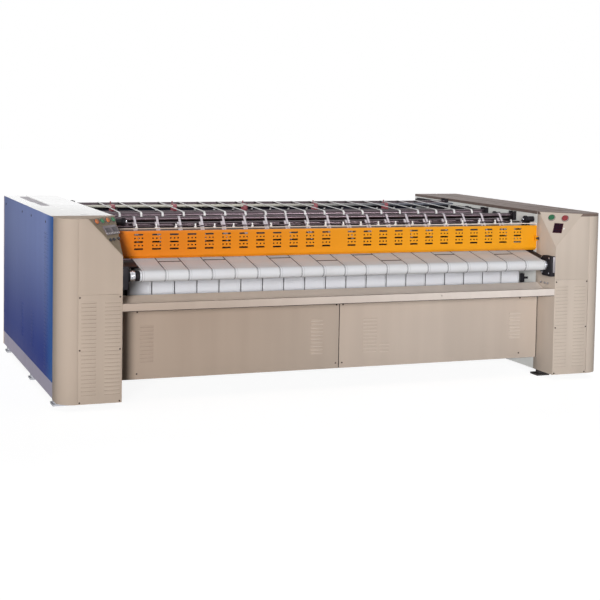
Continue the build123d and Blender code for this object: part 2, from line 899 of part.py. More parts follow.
with BuildPart() as drive_chain:
    chain_loop = [(y, roll_height, sprocket_radius) for y in roll_ys]
    chain_loop.append((*motor_at, motor_sprocket_radius))
    with BuildSketch(side_plane(sprocket_x - (chain_width - sprocket_width) / 2)):
        add(belt_section(chain_loop, contact_gap, chain_thickness, roll_facets))
    extrude(amount=chain_width)
keep("drive_chain", drive_chain)

# ---------------------------------------------------------------- steam supply and electrics
with BuildPart() as steam_pipes:
    union_left = journal_right + contact_gap
    pipe_x = union_left + union_length / 2
    header_height = roll_height - header_fall
    with BuildSketch(side_plane(union_left)):
        with Locations([(y, roll_height) for y in roll_ys]):
            RegularPolygon(union_radius, union_sides)
    extrude(amount=union_length)
    with BuildSketch(Plane.XY.offset(header_height)):
        with Locations([(pipe_x, y) for y in roll_ys]):
            RegularPolygon(pipe_radius, pipe_sides)
    extrude(amount=roll_height - header_height)
    with BuildSketch(Plane.XZ.offset(-roll_ys[0] + 2 * pipe_radius)):
        with Locations((pipe_x, header_height)):
            RegularPolygon(header_radius, pipe_sides)
    extrude(amount=-roll_spacing - 4 * pipe_radius)
    with BuildSketch(Plane.XY.offset(foot_height + rail_height)):
        with Locations((pipe_x, motor_at[0])):
            RegularPolygon(pipe_radius, pipe_sides)
    extrude(amount=header_height - foot_height - rail_height)
keep("steam_pipes", steam_pipes)

with BuildPart() as electric_box:
    box_start = roll_ys[0] + pillow_size / 2 + electric_box_side_room
    with Locations((inner_right + wall_plate, box_start, machine_height - electric_box_drop)):
        Box(
            electric_box_width,
            roll_spacing - pillow_size - 2 * electric_box_side_room,
            electric_box_height,
            align=(Align.MIN, Align.MIN, Align.MAX),
        )
keep("electric_box", electric_box)

# ---------------------------------------------------------------- tape drive on the inner walls
with BuildPart() as tape_chain_case:
    block_half = top_tape_radius + bearing_margin + panel_gap
    bar_front = bar_y - crossbar_width / 2 - panel_gap
    rear_start = lower_tape_at[0] + lower_tape_radius + bearing_margin + panel_gap
    for start, end, height in (
        (middle_tape_at[0] + block_half, bar_front, case_height),
        (rear_start, back - rear_case_end_gap, rear_case_height),
    ):
        with BuildSketch(side_plane(inner_right - bearing_thickness)):
            with Locations(((start + end) / 2, top_tape_height)):
                Rectangle(end - start, height)
        extrude(amount=bearing_thickness)
    # idlers ahead of the front tape roller
    for idler_x in (inner_left, inner_right - bearing_thickness):
        with BuildSketch(side_plane(idler_x)):
            with Locations((front + idler_from_front, machine_height - idler_drop)):
                RegularPolygon(idler_radius, idler_sides)
        extrude(amount=bearing_thickness)
keep("tape_chain_case", tape_chain_case)


# ---------------------------------------------------------------- controls
def control_panel(name, facet, ends, holes):
    """Plate on a sloping corner panel, with a hole for a button stem at each (x, y)."""
    with BuildPart() as plate:
        with BuildSketch(facet):
            Polygon((0, 0), *ends, align=None)
            offset(amount=-panel_inset, kind=Kind.INTERSECTION, mode=Mode.REPLACE)
            with Locations(holes):
                stem_hole = button_stem + 2 * button_clearance
                Rectangle(stem_hole, stem_hole, mode=Mode.SUBTRACT)
        extrude(amount=panel_plate)
    keep(name, plate)


def push_button(name, facet, x, y, radius):
    """Button head held off the plate by its travel, on a square stem that runs through the plate."""
    with BuildPart() as button:
        with BuildSketch(facet.offset(panel_plate + button_travel + contact_gap)):
            with Locations((x, y)):
                RegularPolygon(radius, button_sides)
        extrude(amount=button_height)
        with BuildSketch(facet.offset(-button_depth)):
            with Locations((x, y)):
                Rectangle(button_stem, button_stem)
        extrude(amount=button_depth + panel_plate + button_travel + contact_gap)
    keep(name, button)


left_button_xs = [left_button_middle + (i - 1.5) * left_button_pitch for i in range(4)]
left_buttons = dict(
    zip(("feed_button", "start_button", "raise_button", "reverse_button"), left_button_xs)
)
right_buttons = dict(zip(("run_button", "stop_button"), right_button_places))
left_ends = ((facet_right_end.X, facet_right_end.Y), (facet_left_end.X, facet_left_end.Y))
right_ends = ((-facet_left_end.X, facet_left_end.Y), (-facet_right_end.X, facet_right_end.Y))
left_holes = [(x, left_button_row) for x in left_button_xs]
right_holes = [(x, right_button_row) for x in right_button_places]
control_panel("left_control_panel", left_facet, left_ends, left_holes)
control_panel("right_control_panel", right_facet, right_ends, right_holes)
for name, x in left_buttons.items():
    push_button(name, left_facet, x, left_button_row, button_radius)
for name, x in right_buttons.items():
    push_button(name, right_facet, x, right_button_row, stop_button_radius)

for name, x in zip(("speed_knob", "pressure_knob", "mode_knob"), knob_places):
    with BuildPart() as knob:
        with BuildSketch(left_facet.offset(panel_plate + knob_gap)):
            with Locations((x, knob_row)):
                RegularPolygon(knob_radius, knob_sides)
        extrude(amount=knob_height - knob_grip)
        with BuildSketch(left_facet.offset(panel_plate + knob_gap + knob_height - knob_grip)):
            with Locations((x, knob_row)):
                Rectangle(knob_grip, knob_grip_length)
        extrude(amount=knob_grip)
    keep(name, knob)

with BuildPart() as instrument_display:
    with BuildSketch(left_facet.offset(panel_plate)):
        with Locations(display_middle):
            Rectangle(*display_size)
    extrude(amount=display_thickness)
    with BuildSketch(left_facet.offset(panel_plate + display_thickness)):
        with Locations(display_middle):
            with GridLocations(display_size[0] / 2, 0, 2, 1):
                Rectangle(*window_size)
    extrude(amount=-window_depth, mode=Mode.SUBTRACT)
keep("instrument_display", instrument_display)

with BuildPart() as meter_display:
    with BuildSketch(right_facet.offset(panel_plate)):
        with Locations(meter_middle):
            Rectangle(*meter_size)
    extrude(amount=meter_thickness)
keep("meter_display", meter_display)

# ---------------------------------------------------------------- panel screws
with BuildPart() as panel_screws:
    screw_xs = (panel_x + screw_inset, panel_x + panel_wide - screw_inset)
    screw_span = louvre_panel_height - screw_inset - louvre_screw_top_gap
    screw_zs = [panel_bottom + screw_inset + share * screw_span for share in (0, 0.5, 1)]
    with BuildSketch(Plane.XZ.offset(-panel_y)):
        with Locations([(x, z) for x in screw_xs for z in screw_zs]):
            RegularPolygon(screw_radius, screw_sides)
    extrude(amount=screw_head)
    lower_xs = (-half_span + lower_screw_inset, -panel_gap - split_screw_inset)
    lower_zs = (lower_panel_bottom + lower_screw_rise, lower_panel_top - lower_screw_drop)
    with BuildSketch(Plane.XZ.offset(-front - lower_panel_from_front)):
        with Locations([(x, z) for x in lower_xs for z in lower_zs]):
            RegularPolygon(screw_radius, screw_sides)
    extrude(amount=screw_head)
    mirror(about=Plane.YZ)
keep("panel_screws", panel_screws)

# ---------------------------------------------------------------- files
os.makedirs("parts", exist_ok=True)
for name, part in parts.items():
    export_step(part, f"parts/{name}.step")
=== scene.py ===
"""Looks of a two-roll flatwork ironer: its surfaces, belts, tapes, guard, covers and controls.

Sizes are in metres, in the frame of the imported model: X runs along the rolls to the operator's
right, Y from the feeding side to the back, Z up. The origin is on the floor, in the middle.
"""

import json
import logging
import math
from collections.abc import Callable, Sequence
from dataclasses import dataclass
from enum import Enum
from functools import partial

import bpy
from mathutils import Matrix, Vector


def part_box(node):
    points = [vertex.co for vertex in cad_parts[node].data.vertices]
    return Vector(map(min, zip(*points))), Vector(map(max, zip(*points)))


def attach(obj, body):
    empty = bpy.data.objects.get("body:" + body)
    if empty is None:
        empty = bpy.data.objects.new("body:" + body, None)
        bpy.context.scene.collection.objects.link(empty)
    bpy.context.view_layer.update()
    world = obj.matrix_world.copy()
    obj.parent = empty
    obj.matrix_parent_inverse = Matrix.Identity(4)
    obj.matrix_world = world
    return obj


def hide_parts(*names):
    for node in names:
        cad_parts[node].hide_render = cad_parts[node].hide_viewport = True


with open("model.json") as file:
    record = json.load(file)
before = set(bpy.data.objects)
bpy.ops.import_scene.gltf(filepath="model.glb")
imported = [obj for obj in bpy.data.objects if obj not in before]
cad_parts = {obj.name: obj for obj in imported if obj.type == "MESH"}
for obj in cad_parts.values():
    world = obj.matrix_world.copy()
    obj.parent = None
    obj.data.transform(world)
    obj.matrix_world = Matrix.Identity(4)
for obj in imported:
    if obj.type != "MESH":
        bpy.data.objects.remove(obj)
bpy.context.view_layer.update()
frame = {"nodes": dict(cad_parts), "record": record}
log = logging.getLogger("ironer")

Point = tuple[float, float, float]
Colour = tuple[float, float, float]
Pair = tuple[float, float]
Piece = bpy.types.Object
Test = Callable[[Vector, Vector], bool]
Step = Callable[[], object]

INNER_WALL = 1.685
OUTER_FACE = 2.115
FRONT = -1.270
BACK = 1.270
TOP = 1.290
BELT_LEFT = -1.540
BELT_PITCH = 0.1665
BELT_WIDTH = 0.1625
# clearance to a wall; distance that counts as the same place; share of a normal that faces one way
HAIR = 0.0002
NEAR = 1e-4
FACING = 0.9
SQUARE = 0.99
MACHINE = "machine"
MIRROR = Matrix.Scale(-1, 4, (1, 0, 0))


class Element(Enum):
    """What an edit-mode step works on."""

    FACE = "FACE"
    EDGE = "EDGE"
    POINT = "VERT"


# ---------------------------------------------------------------- shader trees
class Wire:
    """A shader socket with arithmetic, so that shader maths reads as an expression."""

    def __init__(self, tree: "Tree", socket: bpy.types.NodeSocket) -> None:
        """Keeps the tree that the socket belongs to."""
        self.tree, self.socket = tree, socket

    def maths(self, operation: str, *values: "Wire | float") -> "Wire":
        """The result of one Math node on the values, in order."""
        return self.tree.wire("ShaderNodeMath", {"operation": operation}, dict(enumerate(values)))

    def most(self, other: "Wire | float") -> "Wire":
        """The larger of the two."""
        return self.maths("MAXIMUM", self, other)

    def __add__(self, other: "Wire | float") -> "Wire":
        """Sum."""
        return self.maths("ADD", self, other)

    __radd__ = __add__

    def __rsub__(self, other: float) -> "Wire":
        """Difference with a number first."""
        return self.maths("SUBTRACT", other, self)

    def __sub__(self, other: "Wire | float") -> "Wire":
        """Difference."""
        return self.maths("SUBTRACT", self, other)

    def __mul__(self, other: "Wire | float") -> "Wire":
        """Product."""
        return self.maths("MULTIPLY", self, other)

    def __truediv__(self, other: "Wire | float") -> "Wire":
        """Quotient."""
        return self.maths("DIVIDE", self, other)

    def sine(self) -> "Wire":
        """Sine."""
        return self.maths("SINE", self)

    def whole(self) -> "Wire":
        """The whole number below."""
        return self.maths("FLOOR", self)

    def above(self, level: float) -> "Wire":
        """One where the value is over the level, else nought."""
        return self.maths("GREATER_THAN", self, level)

    def below(self, level: float) -> "Wire":
        """One where the value is under the level, else nought."""
        return self.maths("LESS_THAN", self, level)

    def ramp(self, low: float, high: float) -> "Wire":
        """Runs smoothly from nought at low to one at high, held outside them."""
        settings = {"clamp": True, "interpolation_type": "SMOOTHSTEP"}
        return self.tree.wire("ShaderNodeMapRange", settings, {0: self, 1: low, 2: high})


class Tree:
    """Nodes of one material or of the world."""

    def __init__(self, owner: bpy.types.Material | bpy.types.World) -> None:
        """Empties the owner's node tree."""
        owner.use_nodes = True
        self.owner, self.nodes, self.links = owner, owner.node_tree.nodes, owner.node_tree.links
        self.nodes.clear()

    def node(
        self, kind: str, settings: dict[str, object] | None = None, inputs: dict[str | int, object] | None = None
    ) -> bpy.types.Node:
        """Adds a node, sets it up, then gives its sockets their values or links.

        Args:
            kind: the node's type.
            settings: its own properties, which come first.
            inputs: socket name or number, and a value or a Wire.

        Returns:
            The node.
        """
        made = self.nodes.new(kind)
        for name, value in (settings or {}).items():
            setattr(made, name, value)
        for name, value in (inputs or {}).items():
            if isinstance(value, Wire):
                self.links.new(value.socket, made.inputs[name])
            else:
                made.inputs[name].default_value = value
        return made

    def wire(self, kind: str, *how: dict | None, output: int | str = 0) -> Wire:
        """One output of a new node, which is made as node makes it."""
        return Wire(self, self.node(kind, *how).outputs[output])

    def place(self, stretch: Point = (1, 1, 1)) -> Wire:
        """The point on the piece, in metres, with each axis multiplied."""
        spot = self.wire("ShaderNodeTexCoord", output="Object")
        if stretch == (1, 1, 1):
            return spot
        return self.wire("ShaderNodeMapping", None, {"Vector": spot, "Scale": stretch})

    def axes(self, point: Wire | None = None) -> tuple[Wire, ...]:
        """The three coordinates of a point, or of the point on the piece."""
        made = self.node("ShaderNodeSeparateXYZ", None, {0: point or self.place()})
        return tuple(Wire(self, made.outputs[i]) for i in range(3))

    def noise(self, scale: float, detail: float = 2.0, stretch: Point = (1, 1, 1)) -> Wire:
        """Soft noise from nought to one.

        Args:
            scale: cells to the metre.
            detail: octaves.
            stretch: how much finer the noise is along each axis.

        Returns:
            The noise.
        """
        inputs = {"Vector": self.place(stretch), "Scale": scale, "Detail": detail}
        return self.wire("ShaderNodeTexNoise", {"noise_dimensions": "3D"}, inputs)

    def mix(self, share: Wire | float, low: object, high: object) -> Wire:
        """Blend of two colours: a share of nought gives low, one gives high."""
        settings = {"data_type": "RGBA", "clamp_factor": True}
        return self.wire("ShaderNodeMix", settings, {0: share, 6: low, 7: high}, output=2)

    def relief(self, height: Wire, depth: float, strength: float) -> Wire:
        """Normal bumped by a height from nought to one, depth metres high, by its strength."""
        return self.wire("ShaderNodeBump", None, {"Strength": strength, "Distance": depth, "Height": height})

    def blend(self, share: Wire, first: Wire, second: Wire) -> Wire:
        """Blend of two shaders."""
        return self.wire("ShaderNodeMixShader", None, {0: share, 1: first, 2: second})

    def seen(self) -> Wire:
        """One for rays that show the room itself: the camera's, mirrored and transmitted ones."""
        path = self.node("ShaderNodeLightPath")
        names = ("Is Camera Ray", "Is Glossy Ray", "Is Transmission Ray")
        camera, glossy, clear = (Wire(self, path.outputs[name]) for name in names)
        return camera.most(glossy).most(clear)

    def finish(self, **sockets: object) -> bpy.types.Material:
        """Ends the tree in one Principled shader.

        Args:
            sockets: its inputs, with _ for a space.

        Returns:
            The material.
        """
        named = {name.replace("_", " "): value for name, value in sockets.items()}
        self.node("ShaderNodeOutputMaterial", None, {0: self.wire("ShaderNodeBsdfPrincipled", None, named)})
        return self.owner


def tint(red: float, green: float, blue: float, share: float = 1.0) -> tuple[float, ...]:
    """A screen colour as the shader wants it.

    Args:
        red: red on the screen, 0 to 255.
        green: green on the screen.
        blue: blue on the screen.
        share: multiplies the light it returns.

    Returns:
        Linear red, green, blue and one.
    """
    linear = []
    for channel in (red, green, blue):
        value = channel / 255
        value = value / 12.92 if value <= 0.04045 else ((value + 0.055) / 1.055) ** 2.4
        linear.append(value * share)
    return (*linear, 1.0)


# ---------------------------------------------------------------- finishes
@dataclass(frozen=True)
class Finish:
    """A surface finish: its name, the slot it answers to, and its main colour."""

    name: str
    slot: str
    colour: Colour

    def material(self) -> bpy.types.Material:
        """The finish's one material, made when it is first asked for."""
        return bpy.data.materials.get(self.name) or self.make(Tree(bpy.data.materials.new(self.name)))

    def make(self, tree: Tree) -> bpy.types.Material:
        """Fills the material's tree; each kind of finish has its own."""
        raise NotImplementedError


@dataclass(frozen=True)
class Paint(Finish):
    """Powder coat or enamel with orange peel, soft streaks and a little dust low down."""

    gloss: float = 0.62
    shine: float = 0.08
    coat: float = 0.0
    streak: float = 0.10
    far_colour: Colour | None = None
    fade_axis: int = 0
    fade: Pair = (0.0, 1.0)
    front_colour: Colour | None = None
    front: Pair = (-1.05, -0.70)
    dirt: Colour = (90, 78, 70)
    dust: Colour = (150, 140, 128)
    dust_reach: Pair = (0.02, 0.35)

    def make(self, tree: Tree) -> bpy.types.Material:
        """Paint shader."""
        base: object = tint(*self.colour)
        # far_colour and front_colour blend the colour by place; where a finish uses this to paint light or shade, its
        # definition says so
        if self.far_colour:
            base = tree.mix(tree.axes()[self.fade_axis].ramp(*self.fade), base, tint(*self.far_colour))
        if self.front_colour:
            base = tree.mix(tree.axes()[1].ramp(*self.front), tint(*self.front_colour), base)
        shade = tree.noise(1.3, 3.0) * 0.5 + tree.noise(9.0, 2.0, (1.0, 1.0, 0.06)) * 0.5
        worn = tree.mix(shade.ramp(0.35, 0.7) * self.streak, base, tint(*self.dirt))
        dusty = (1 - tree.axes()[2].ramp(*self.dust_reach)) * tree.noise(14.0, 4.0) * 0.22
        return tree.finish(
            Base_Color=tree.mix(dusty, worn, tint(*self.dust)),
            Roughness=self.gloss + shade * 0.14,
            Normal=tree.relief(tree.noise(520.0, 1.0), 0.0004, 0.25),
            Specular_IOR_Level=self.shine,
            Coat_Weight=self.coat,
        )


@dataclass(frozen=True)
class Steel(Finish):
    """Bare or plated steel with fine turning or grinding lines and a little stain."""

    rough: float = 0.28
    lines: Point = (0.4, 60.0, 60.0)
    stain: Colour = (86, 74, 66)

    def make(self, tree: Tree) -> bpy.types.Material:
        """Metal shader."""
        grain, spots, stain = tree.noise(22.0, 3.0, self.lines), tree.noise(7.0, 4.0), tint(*self.stain)
        spotted = tree.mix(spots.ramp(0.5, 0.85) * 0.45, tint(*self.colour), stain)
        return tree.finish(
            Base_Color=tree.mix(grain * 0.30, spotted, stain),
            Metallic=1.0,
            Roughness=self.rough + grain * 0.16 + spots.ramp(0.55, 0.8) * 0.12,
            Normal=tree.relief(grain, 0.0003, 0.2),
        )


@dataclass(frozen=True)
class Iron(Finish):
    """Blackened or black-painted iron with a dull, oily surface."""

    rough: float = 0.62
    oil: Colour = (44, 38, 42)

    def make(self, tree: Tree) -> bpy.types.Material:
        """Dark metal shader."""
        cast, film = tree.noise(90.0, 4.0), tree.noise(11.0, 2.0)
        return tree.finish(
            Base_Color=tree.mix(film.ramp(0.4, 0.8) * 0.5, tint(*self.colour), tint(*self.oil)),
            Roughness=self.rough - film * 0.2 + cast * 0.15,
            Specular_IOR_Level=0.2,
            Normal=tree.relief(cast, 0.0008, 0.5),
        )


@dataclass(frozen=True)
class Cloth(Finish):
    """Woven belt or tape: twill threads, a stitched line near one edge, painted shade along both edges, and each belt
    its own tone.
    """

    # edge_shade: width of the painted shade along each edge, which stands in for the shadow in the gaps between belts;
    # a negative width leaves it out
    edge_shade: float = 0.0022
    seam: float = 0.016
    stitch: float = 0.002
    thread: float = 0.0016
    sheen: float = 0.55

    def make(self, tree: Tree) -> bpy.types.Material:
        """Cloth shader on the belt's own map, which holds metres across and along it."""
        across, along, _ = tree.axes(tree.wire("ShaderNodeUVMap", {"uv_map": "weave"}))
        turn = 2 * math.pi / self.thread
        warp, weft = ((across + along * 0.5) * turn).sine(), (along * turn * 0.5).sine()
        twill = warp * weft * 0.5 + 0.5
        belt = ((tree.axes()[0] - BELT_LEFT) / BELT_PITCH).whole()
        tone = tree.wire("ShaderNodeTexWhiteNoise", {"noise_dimensions": "1D"}, {"W": belt})
        soil = tree.noise(5.0, 4.0, (1.0, 2.5, 2.5)).ramp(0.42, 0.8)
        base = tree.mix(tone * 0.35, tint(*self.colour), tint(214, 214, 220))
        used = tree.mix(soil * 0.18, base, tint(188, 180, 172))
        woven = tree.mix((1 - twill) * 0.10, used, tint(150, 148, 150))
        # the stitched line is part of the belt; the darker edges are painted shade
        stitched = across.above(self.seam) * across.below(self.seam + self.stitch)
        edge = across.below(self.edge_shade) + across.above(BELT_WIDTH - self.edge_shade)
        return tree.finish(
            Base_Color=tree.mix(stitched * 0.4 + edge * 0.85, woven, tint(66, 60, 64)),
            Roughness=self.sheen + soil * 0.2,
            Normal=tree.relief(twill + stitched * -1.5, 0.0002, 0.35),
            Specular_IOR_Level=0.2,
        )


@dataclass(frozen=True)
class Plastic(Finish):
    """Moulded plastic with a fine spark texture."""

    rough: float = 0.38
    shine: float = 0.5
    coat: float = 0.2

    def make(self, tree: Tree) -> bpy.types.Material:
        """Plastic shader."""
        grain, cloud = tree.noise(900.0, 2.0), tree.noise(60.0, 2.0)
        return tree.finish(
            Base_Color=tree.mix(cloud * 0.25, tint(*self.colour), tint(*self.colour, 0.6)),
            Roughness=self.rough + grain * 0.12,
            Normal=tree.relief(grain, 0.0001, 0.3),
            Coat_Weight=self.coat,
            Specular_IOR_Level=self.shine,
        )


# painted light: the beige paint turns lighter towards the right cabinet, where more light falls
BEIGE = Paint("beige_coat", "beige_paint", (188, 171, 156), far_colour=(202, 188, 175), fade=(-1.9, 1.9))
# painted shade: a darker copy of the beige paint for the recessed lower panels under the tray, darkest at their left
# end beside the left cabinet
SHADED_PAN = Paint("shaded_pan_coat", "beige_paint", (171, 153, 138), far_colour=(192, 178, 166), fade=(-1.2, 1.0))
COVER_LEFT = Paint("pale_cover", "beige_paint", (252, 251, 249), gloss=0.15, shine=0.8, coat=1.0, streak=0.03)
COVER_RIGHT = Paint("taupe_cover", "taupe_paint", (112, 95, 88), gloss=0.45, shine=0.3, streak=0.35)
# painted light: the blue panels turn lighter higher up and towards the front edge, as the light falls on them
BLUE = Paint(
    "blue_coat", "blue_paint", (36, 56, 132),
    streak=0.06, far_colour=(130, 144, 194), fade_axis=2, fade=(0.2, 1.2), front_colour=(46, 92, 156),
)
# painted shade: a dark sheet inside the rear panels, seen as shade behind the rolls and tapes
SHADE_SHEET = Paint("painted_shade_sheet", "blue_paint", (26, 26, 40), gloss=0.8, streak=0.05)
# painted highlight: light strips under the louvres of the lower panels, where the louvres catch the light, lighter
# towards the right
LOUVRE_GLINT = Paint("louvre_glint", "beige_paint", (212, 199, 189), far_colour=(226, 216, 208), fade=(-0.2, 1.4))
PLINTH = Paint("plinth_coat", "plinth_grey", (176, 170, 190), gloss=0.5)
ORANGE = Paint(
    "orange_enamel", "orange_paint", (212, 112, 8),
    gloss=0.36, shine=0.2, streak=0.04, far_colour=(230, 154, 20), fade=(-2.2, 1.3),
)
WALL = Paint("wall_coat", "wall_paint", (246, 246, 242), gloss=0.3, shine=0.5)
FRAME = Paint("frame_coat", "frame_steel", (96, 98, 104), gloss=0.5)
FEET = Paint("foot_coat", "frame_steel", (196, 198, 206), far_colour=(46, 44, 48), fade=(-1.75, 1.60))
# painted shade: the crossbar turns dark towards the right, where it lies in shade
BAR = Paint("bar_coat", "light_bar", (206, 204, 192), gloss=0.35, far_colour=(104, 108, 118), fade=(-0.4, 1.3))
# painted shade: a darker copy of the beige paint for the left sloping control panel, which faces partly away from the
# light
SHADED_PANEL = Paint("shaded_corner_plate", "beige_paint", (160, 145, 126), streak=0.15)
# painted light: the tray lip and the guard rail turn lighter towards the right, where more light falls
LIP = Paint("lip_coat", "beige_paint", (184, 166, 152), far_colour=(232, 221, 213), fade=(-1.7, 1.7))
# painted light: a lighter copy of the tray paint for the tray's upward faces, lighter still towards the right
LIT_TRAY = Paint("lit_tray_coat", "beige_paint", (232, 213, 196), far_colour=(246, 234, 224), fade=(-1.7, 1.7))
# painted shade: dark blocks in the louvre openings, lighter towards the right; BLUE_MOUTH does the same on the blue
# panels
MOUTH = Paint("louvre_shade", "beige_paint", (126, 110, 99), far_colour=(156, 142, 131), fade=(-1.4, 1.2))
BLUE_MOUTH = Paint("blue_shade", "blue_paint", (26, 34, 84), gloss=0.7)
SLEEVE = Paint("pale_sleeve", "chrome_steel", (226, 226, 230), gloss=0.5)
# painted reflection: the roll and roller steel is made very dark, so that it shows dark reflections in place of the
# white surroundings
ROLL = Steel("ground_steel", "roll_steel", (36, 29, 29), 0.36, stain=(50, 42, 38))
ROLLER = Steel("turned_steel", "roller_steel", (82, 71, 77), 0.2, stain=(62, 54, 52))
SCREW = Steel("screw_steel", "zinc_steel", (66, 58, 56), 0.4, (30.0, 30.0, 30.0))
CHROME = Steel("bright_chrome", "chrome_steel", (214, 214, 220), 0.10, stain=(120, 118, 124))
ZINC = Steel("zinc_plate", "zinc_steel", (150, 146, 150), 0.35, (30.0, 30.0, 30.0))
BED = Steel("shaded_bed", "zinc_steel", (46, 40, 44), 0.5)
IRON = Iron("blackened_iron", "black_iron", (22, 19, 25))
GAP = Iron("shadow_gap", "black_iron", (26, 21, 20), 0.7)
BELT = Cloth("belt_weave", "belt_cloth", (224, 224, 226))
PRESS_BELT = Cloth("ironing_weave", "belt_cloth", (222, 223, 228), seam=0.150, thread=0.0022)
TAPE = Cloth("tape_weave", "tape_cloth", (244, 243, 241), edge_shade=-1.0, seam=0.2, thread=0.001)
SHADED_TAPE = Cloth("shaded_tape", "tape_cloth", (212, 203, 210), edge_shade=-1.0, seam=0.2, thread=0.001)
RED = Plastic("red_button", "red_plastic", (172, 60, 58))
DARK_RED = Plastic("dark_red_button", "red_plastic", (142, 54, 58), 0.45, 0.3, 0.0)
CLAMP_RED = Plastic("clamp_red", "red_plastic", (142, 72, 80))
AMBER = Plastic("orange_button", "orange_plastic", (214, 116, 52))
GREEN = Plastic("green_button", "green_plastic", (44, 128, 78))
DARK_GREEN = Plastic("dark_green_button", "green_plastic", (40, 100, 68), 0.45, 0.3, 0.0)
BLACK = Plastic("black_moulding", "black_plastic", (28, 26, 34))
GREY = Plastic("grey_moulding", "grey_plastic", (142, 136, 144), 0.4)
CASE = Plastic("display_case", "grey_plastic", (112, 99, 104), 0.4)
SCREEN = Plastic("dark_window", "grey_plastic", (38, 22, 34), 0.4)
MAROON = Plastic("maroon_window", "maroon_plastic", (56, 12, 28), 0.6, 0.1, 0.0)
CELL = Plastic("meter_cell", "maroon_plastic", (30, 12, 26), 0.6, 0.1, 0.0)
WHITE = Plastic("white_moulding", "grey_plastic", (246, 245, 243), 0.3)

SLOT_FINISHES = (
    BEIGE, BLUE, PLINTH, ORANGE, COVER_RIGHT, WALL, FRAME, ROLL, ROLLER, CHROME, IRON, BELT, TAPE, BAR,
    RED, AMBER, GREEN, BLACK, GREY, MAROON, ZINC,
)
NODE_FINISH = {finish.slot: finish for finish in SLOT_FINISHES}
NODE_SPECIAL = {
    "feet": FEET,
    "feed_bed": BED,
    "feed_roller": SLEEVE,
    "left_control_panel": SHADED_PANEL,
    "nip_tape_roller": ROLL,
}


# ---------------------------------------------------------------- modelling steps
def rest() -> None:
    """Leaves edit mode with nothing selected."""
    if bpy.context.mode != "OBJECT":
        bpy.ops.object.mode_set(mode="OBJECT")
    bpy.ops.object.select_all(action="DESELECT")


def only(piece: Piece) -> Piece:
    """Selects one piece and makes it active."""
    rest()
    piece.select_set(True)
    bpy.context.view_layer.objects.active = piece
    return piece


def settle(name: str) -> Piece:
    """Names the new piece and puts its place into its mesh."""
    piece = bpy.context.active_object
    piece.name = piece.data.name = name
    only(piece)
    bpy.ops.object.transform_apply(location=True, rotation=True, scale=True)
    return piece


def modify(piece: Piece, kind: str, **settings: object) -> Piece:
    """Adds a modifier of that kind with those settings, and applies it."""
    only(piece)
    added = piece.modifiers.new(kind, kind)
    for name, value in settings.items():
        setattr(added, name, value)
    bpy.ops.object.modifier_apply(modifier=added.name)
    return piece


def soften(piece: Piece, width: float, steps: int = 2, angle: float = 30) -> Piece:
    """Rounds the edges sharper than the angle in degrees."""
    sharp = {"limit_method": "ANGLE", "angle_limit": math.radians(angle)}
    return modify(piece, "BEVEL", width=width, segments=steps, **sharp)


def block(name: str, low: Sequence[float], high: Sequence[float], edge: float = 0.0) -> Piece:
    """A cuboid between two corners, its edges rounded.

    Args:
        name: the piece's name.
        low: lowest corner.
        high: highest corner.
        edge: radius of its edges.

    Returns:
        The piece.
    """
    low, high = Vector(low), Vector(high)
    rest()
    bpy.ops.mesh.primitive_cube_add(size=1, location=(low + high) / 2, scale=high - low)
    piece = settle(name)
    return soften(piece, edge) if edge else piece


def drum(
    name: str, start: Sequence[float], end: Sequence[float], radius: float, edge: float = 0.0, sides: int = 40
) -> Piece:
    """A round bar between two points, its rims rounded.

    Args:
        name: the piece's name.
        start: middle of one end.
        end: middle of the other.
        radius: its radius.
        edge: radius of its rims.
        sides: flats round it.

    Returns:
        The piece.
    """
    start, end = Vector(start), Vector(end)
    way = end - start
    turn = way.to_track_quat("Z", "Y").to_euler()
    rest()
    bpy.ops.mesh.primitive_cylinder_add(
        vertices=sides, radius=radius, depth=way.length, location=(start + end) / 2, rotation=turn
    )
    piece = settle(name)
    return soften(piece, edge, 2, 50) if edge else piece


def axle(name: str, start: float, end: float, at: Pair, radius: float, edge: float = 0.0, sides: int = 40) -> Piece:
    """A drum along X about the axis at (y, z)."""
    return drum(name, (start, *at), (end, *at), radius, edge, sides)


def work(piece: Piece, kind: Element, test: Test, *steps: Step) -> Piece:
    """Selects by place and direction, and runs edit-mode steps on what it selects.

    Args:
        piece: the piece.
        kind: faces, edges or points.
        test: takes the middle of an element and its normal, or an edge's direction.
        steps: the operators, in order.

    Returns:
        The piece.
    """
    only(piece)
    bpy.ops.object.mode_set(mode="EDIT")
    bpy.ops.mesh.select_mode(type=kind.value)
    bpy.ops.mesh.select_all(action="DESELECT")
    bpy.ops.object.mode_set(mode="OBJECT")
    mesh = piece.data
    if kind is Element.FACE:
        for face in mesh.polygons:
            face.select = test(face.center, face.normal)
    elif kind is Element.EDGE:
        for edge in mesh.edges:
            start, end = (mesh.vertices[i].co for i in edge.vertices)
            edge.select = test((start + end) / 2, (end - start).normalized())
    else:
        for point in mesh.vertices:
            point.select = test(point.co, point.normal)
    bpy.ops.object.mode_set(mode="EDIT")
    for step in steps:
        step()
    bpy.ops.object.mode_set(mode="OBJECT")
    return piece


def whole(_middle: Vector, _way: Vector) -> bool:
    """Selects everything."""
    return True


def shift(x: float, y: float, z: float) -> Step:
    """A step that moves what is selected."""
    return lambda: bpy.ops.transform.translate(value=(x, y, z))


def chamfer(offset: float, segments: int) -> Step:
    """A step that rounds the selected edges."""
    return lambda: bpy.ops.mesh.bevel(offset=offset, segments=segments, affect="EDGES")


def drop_faces() -> object:
    """A step that deletes the selected faces."""
    return bpy.ops.mesh.delete(type="FACE")


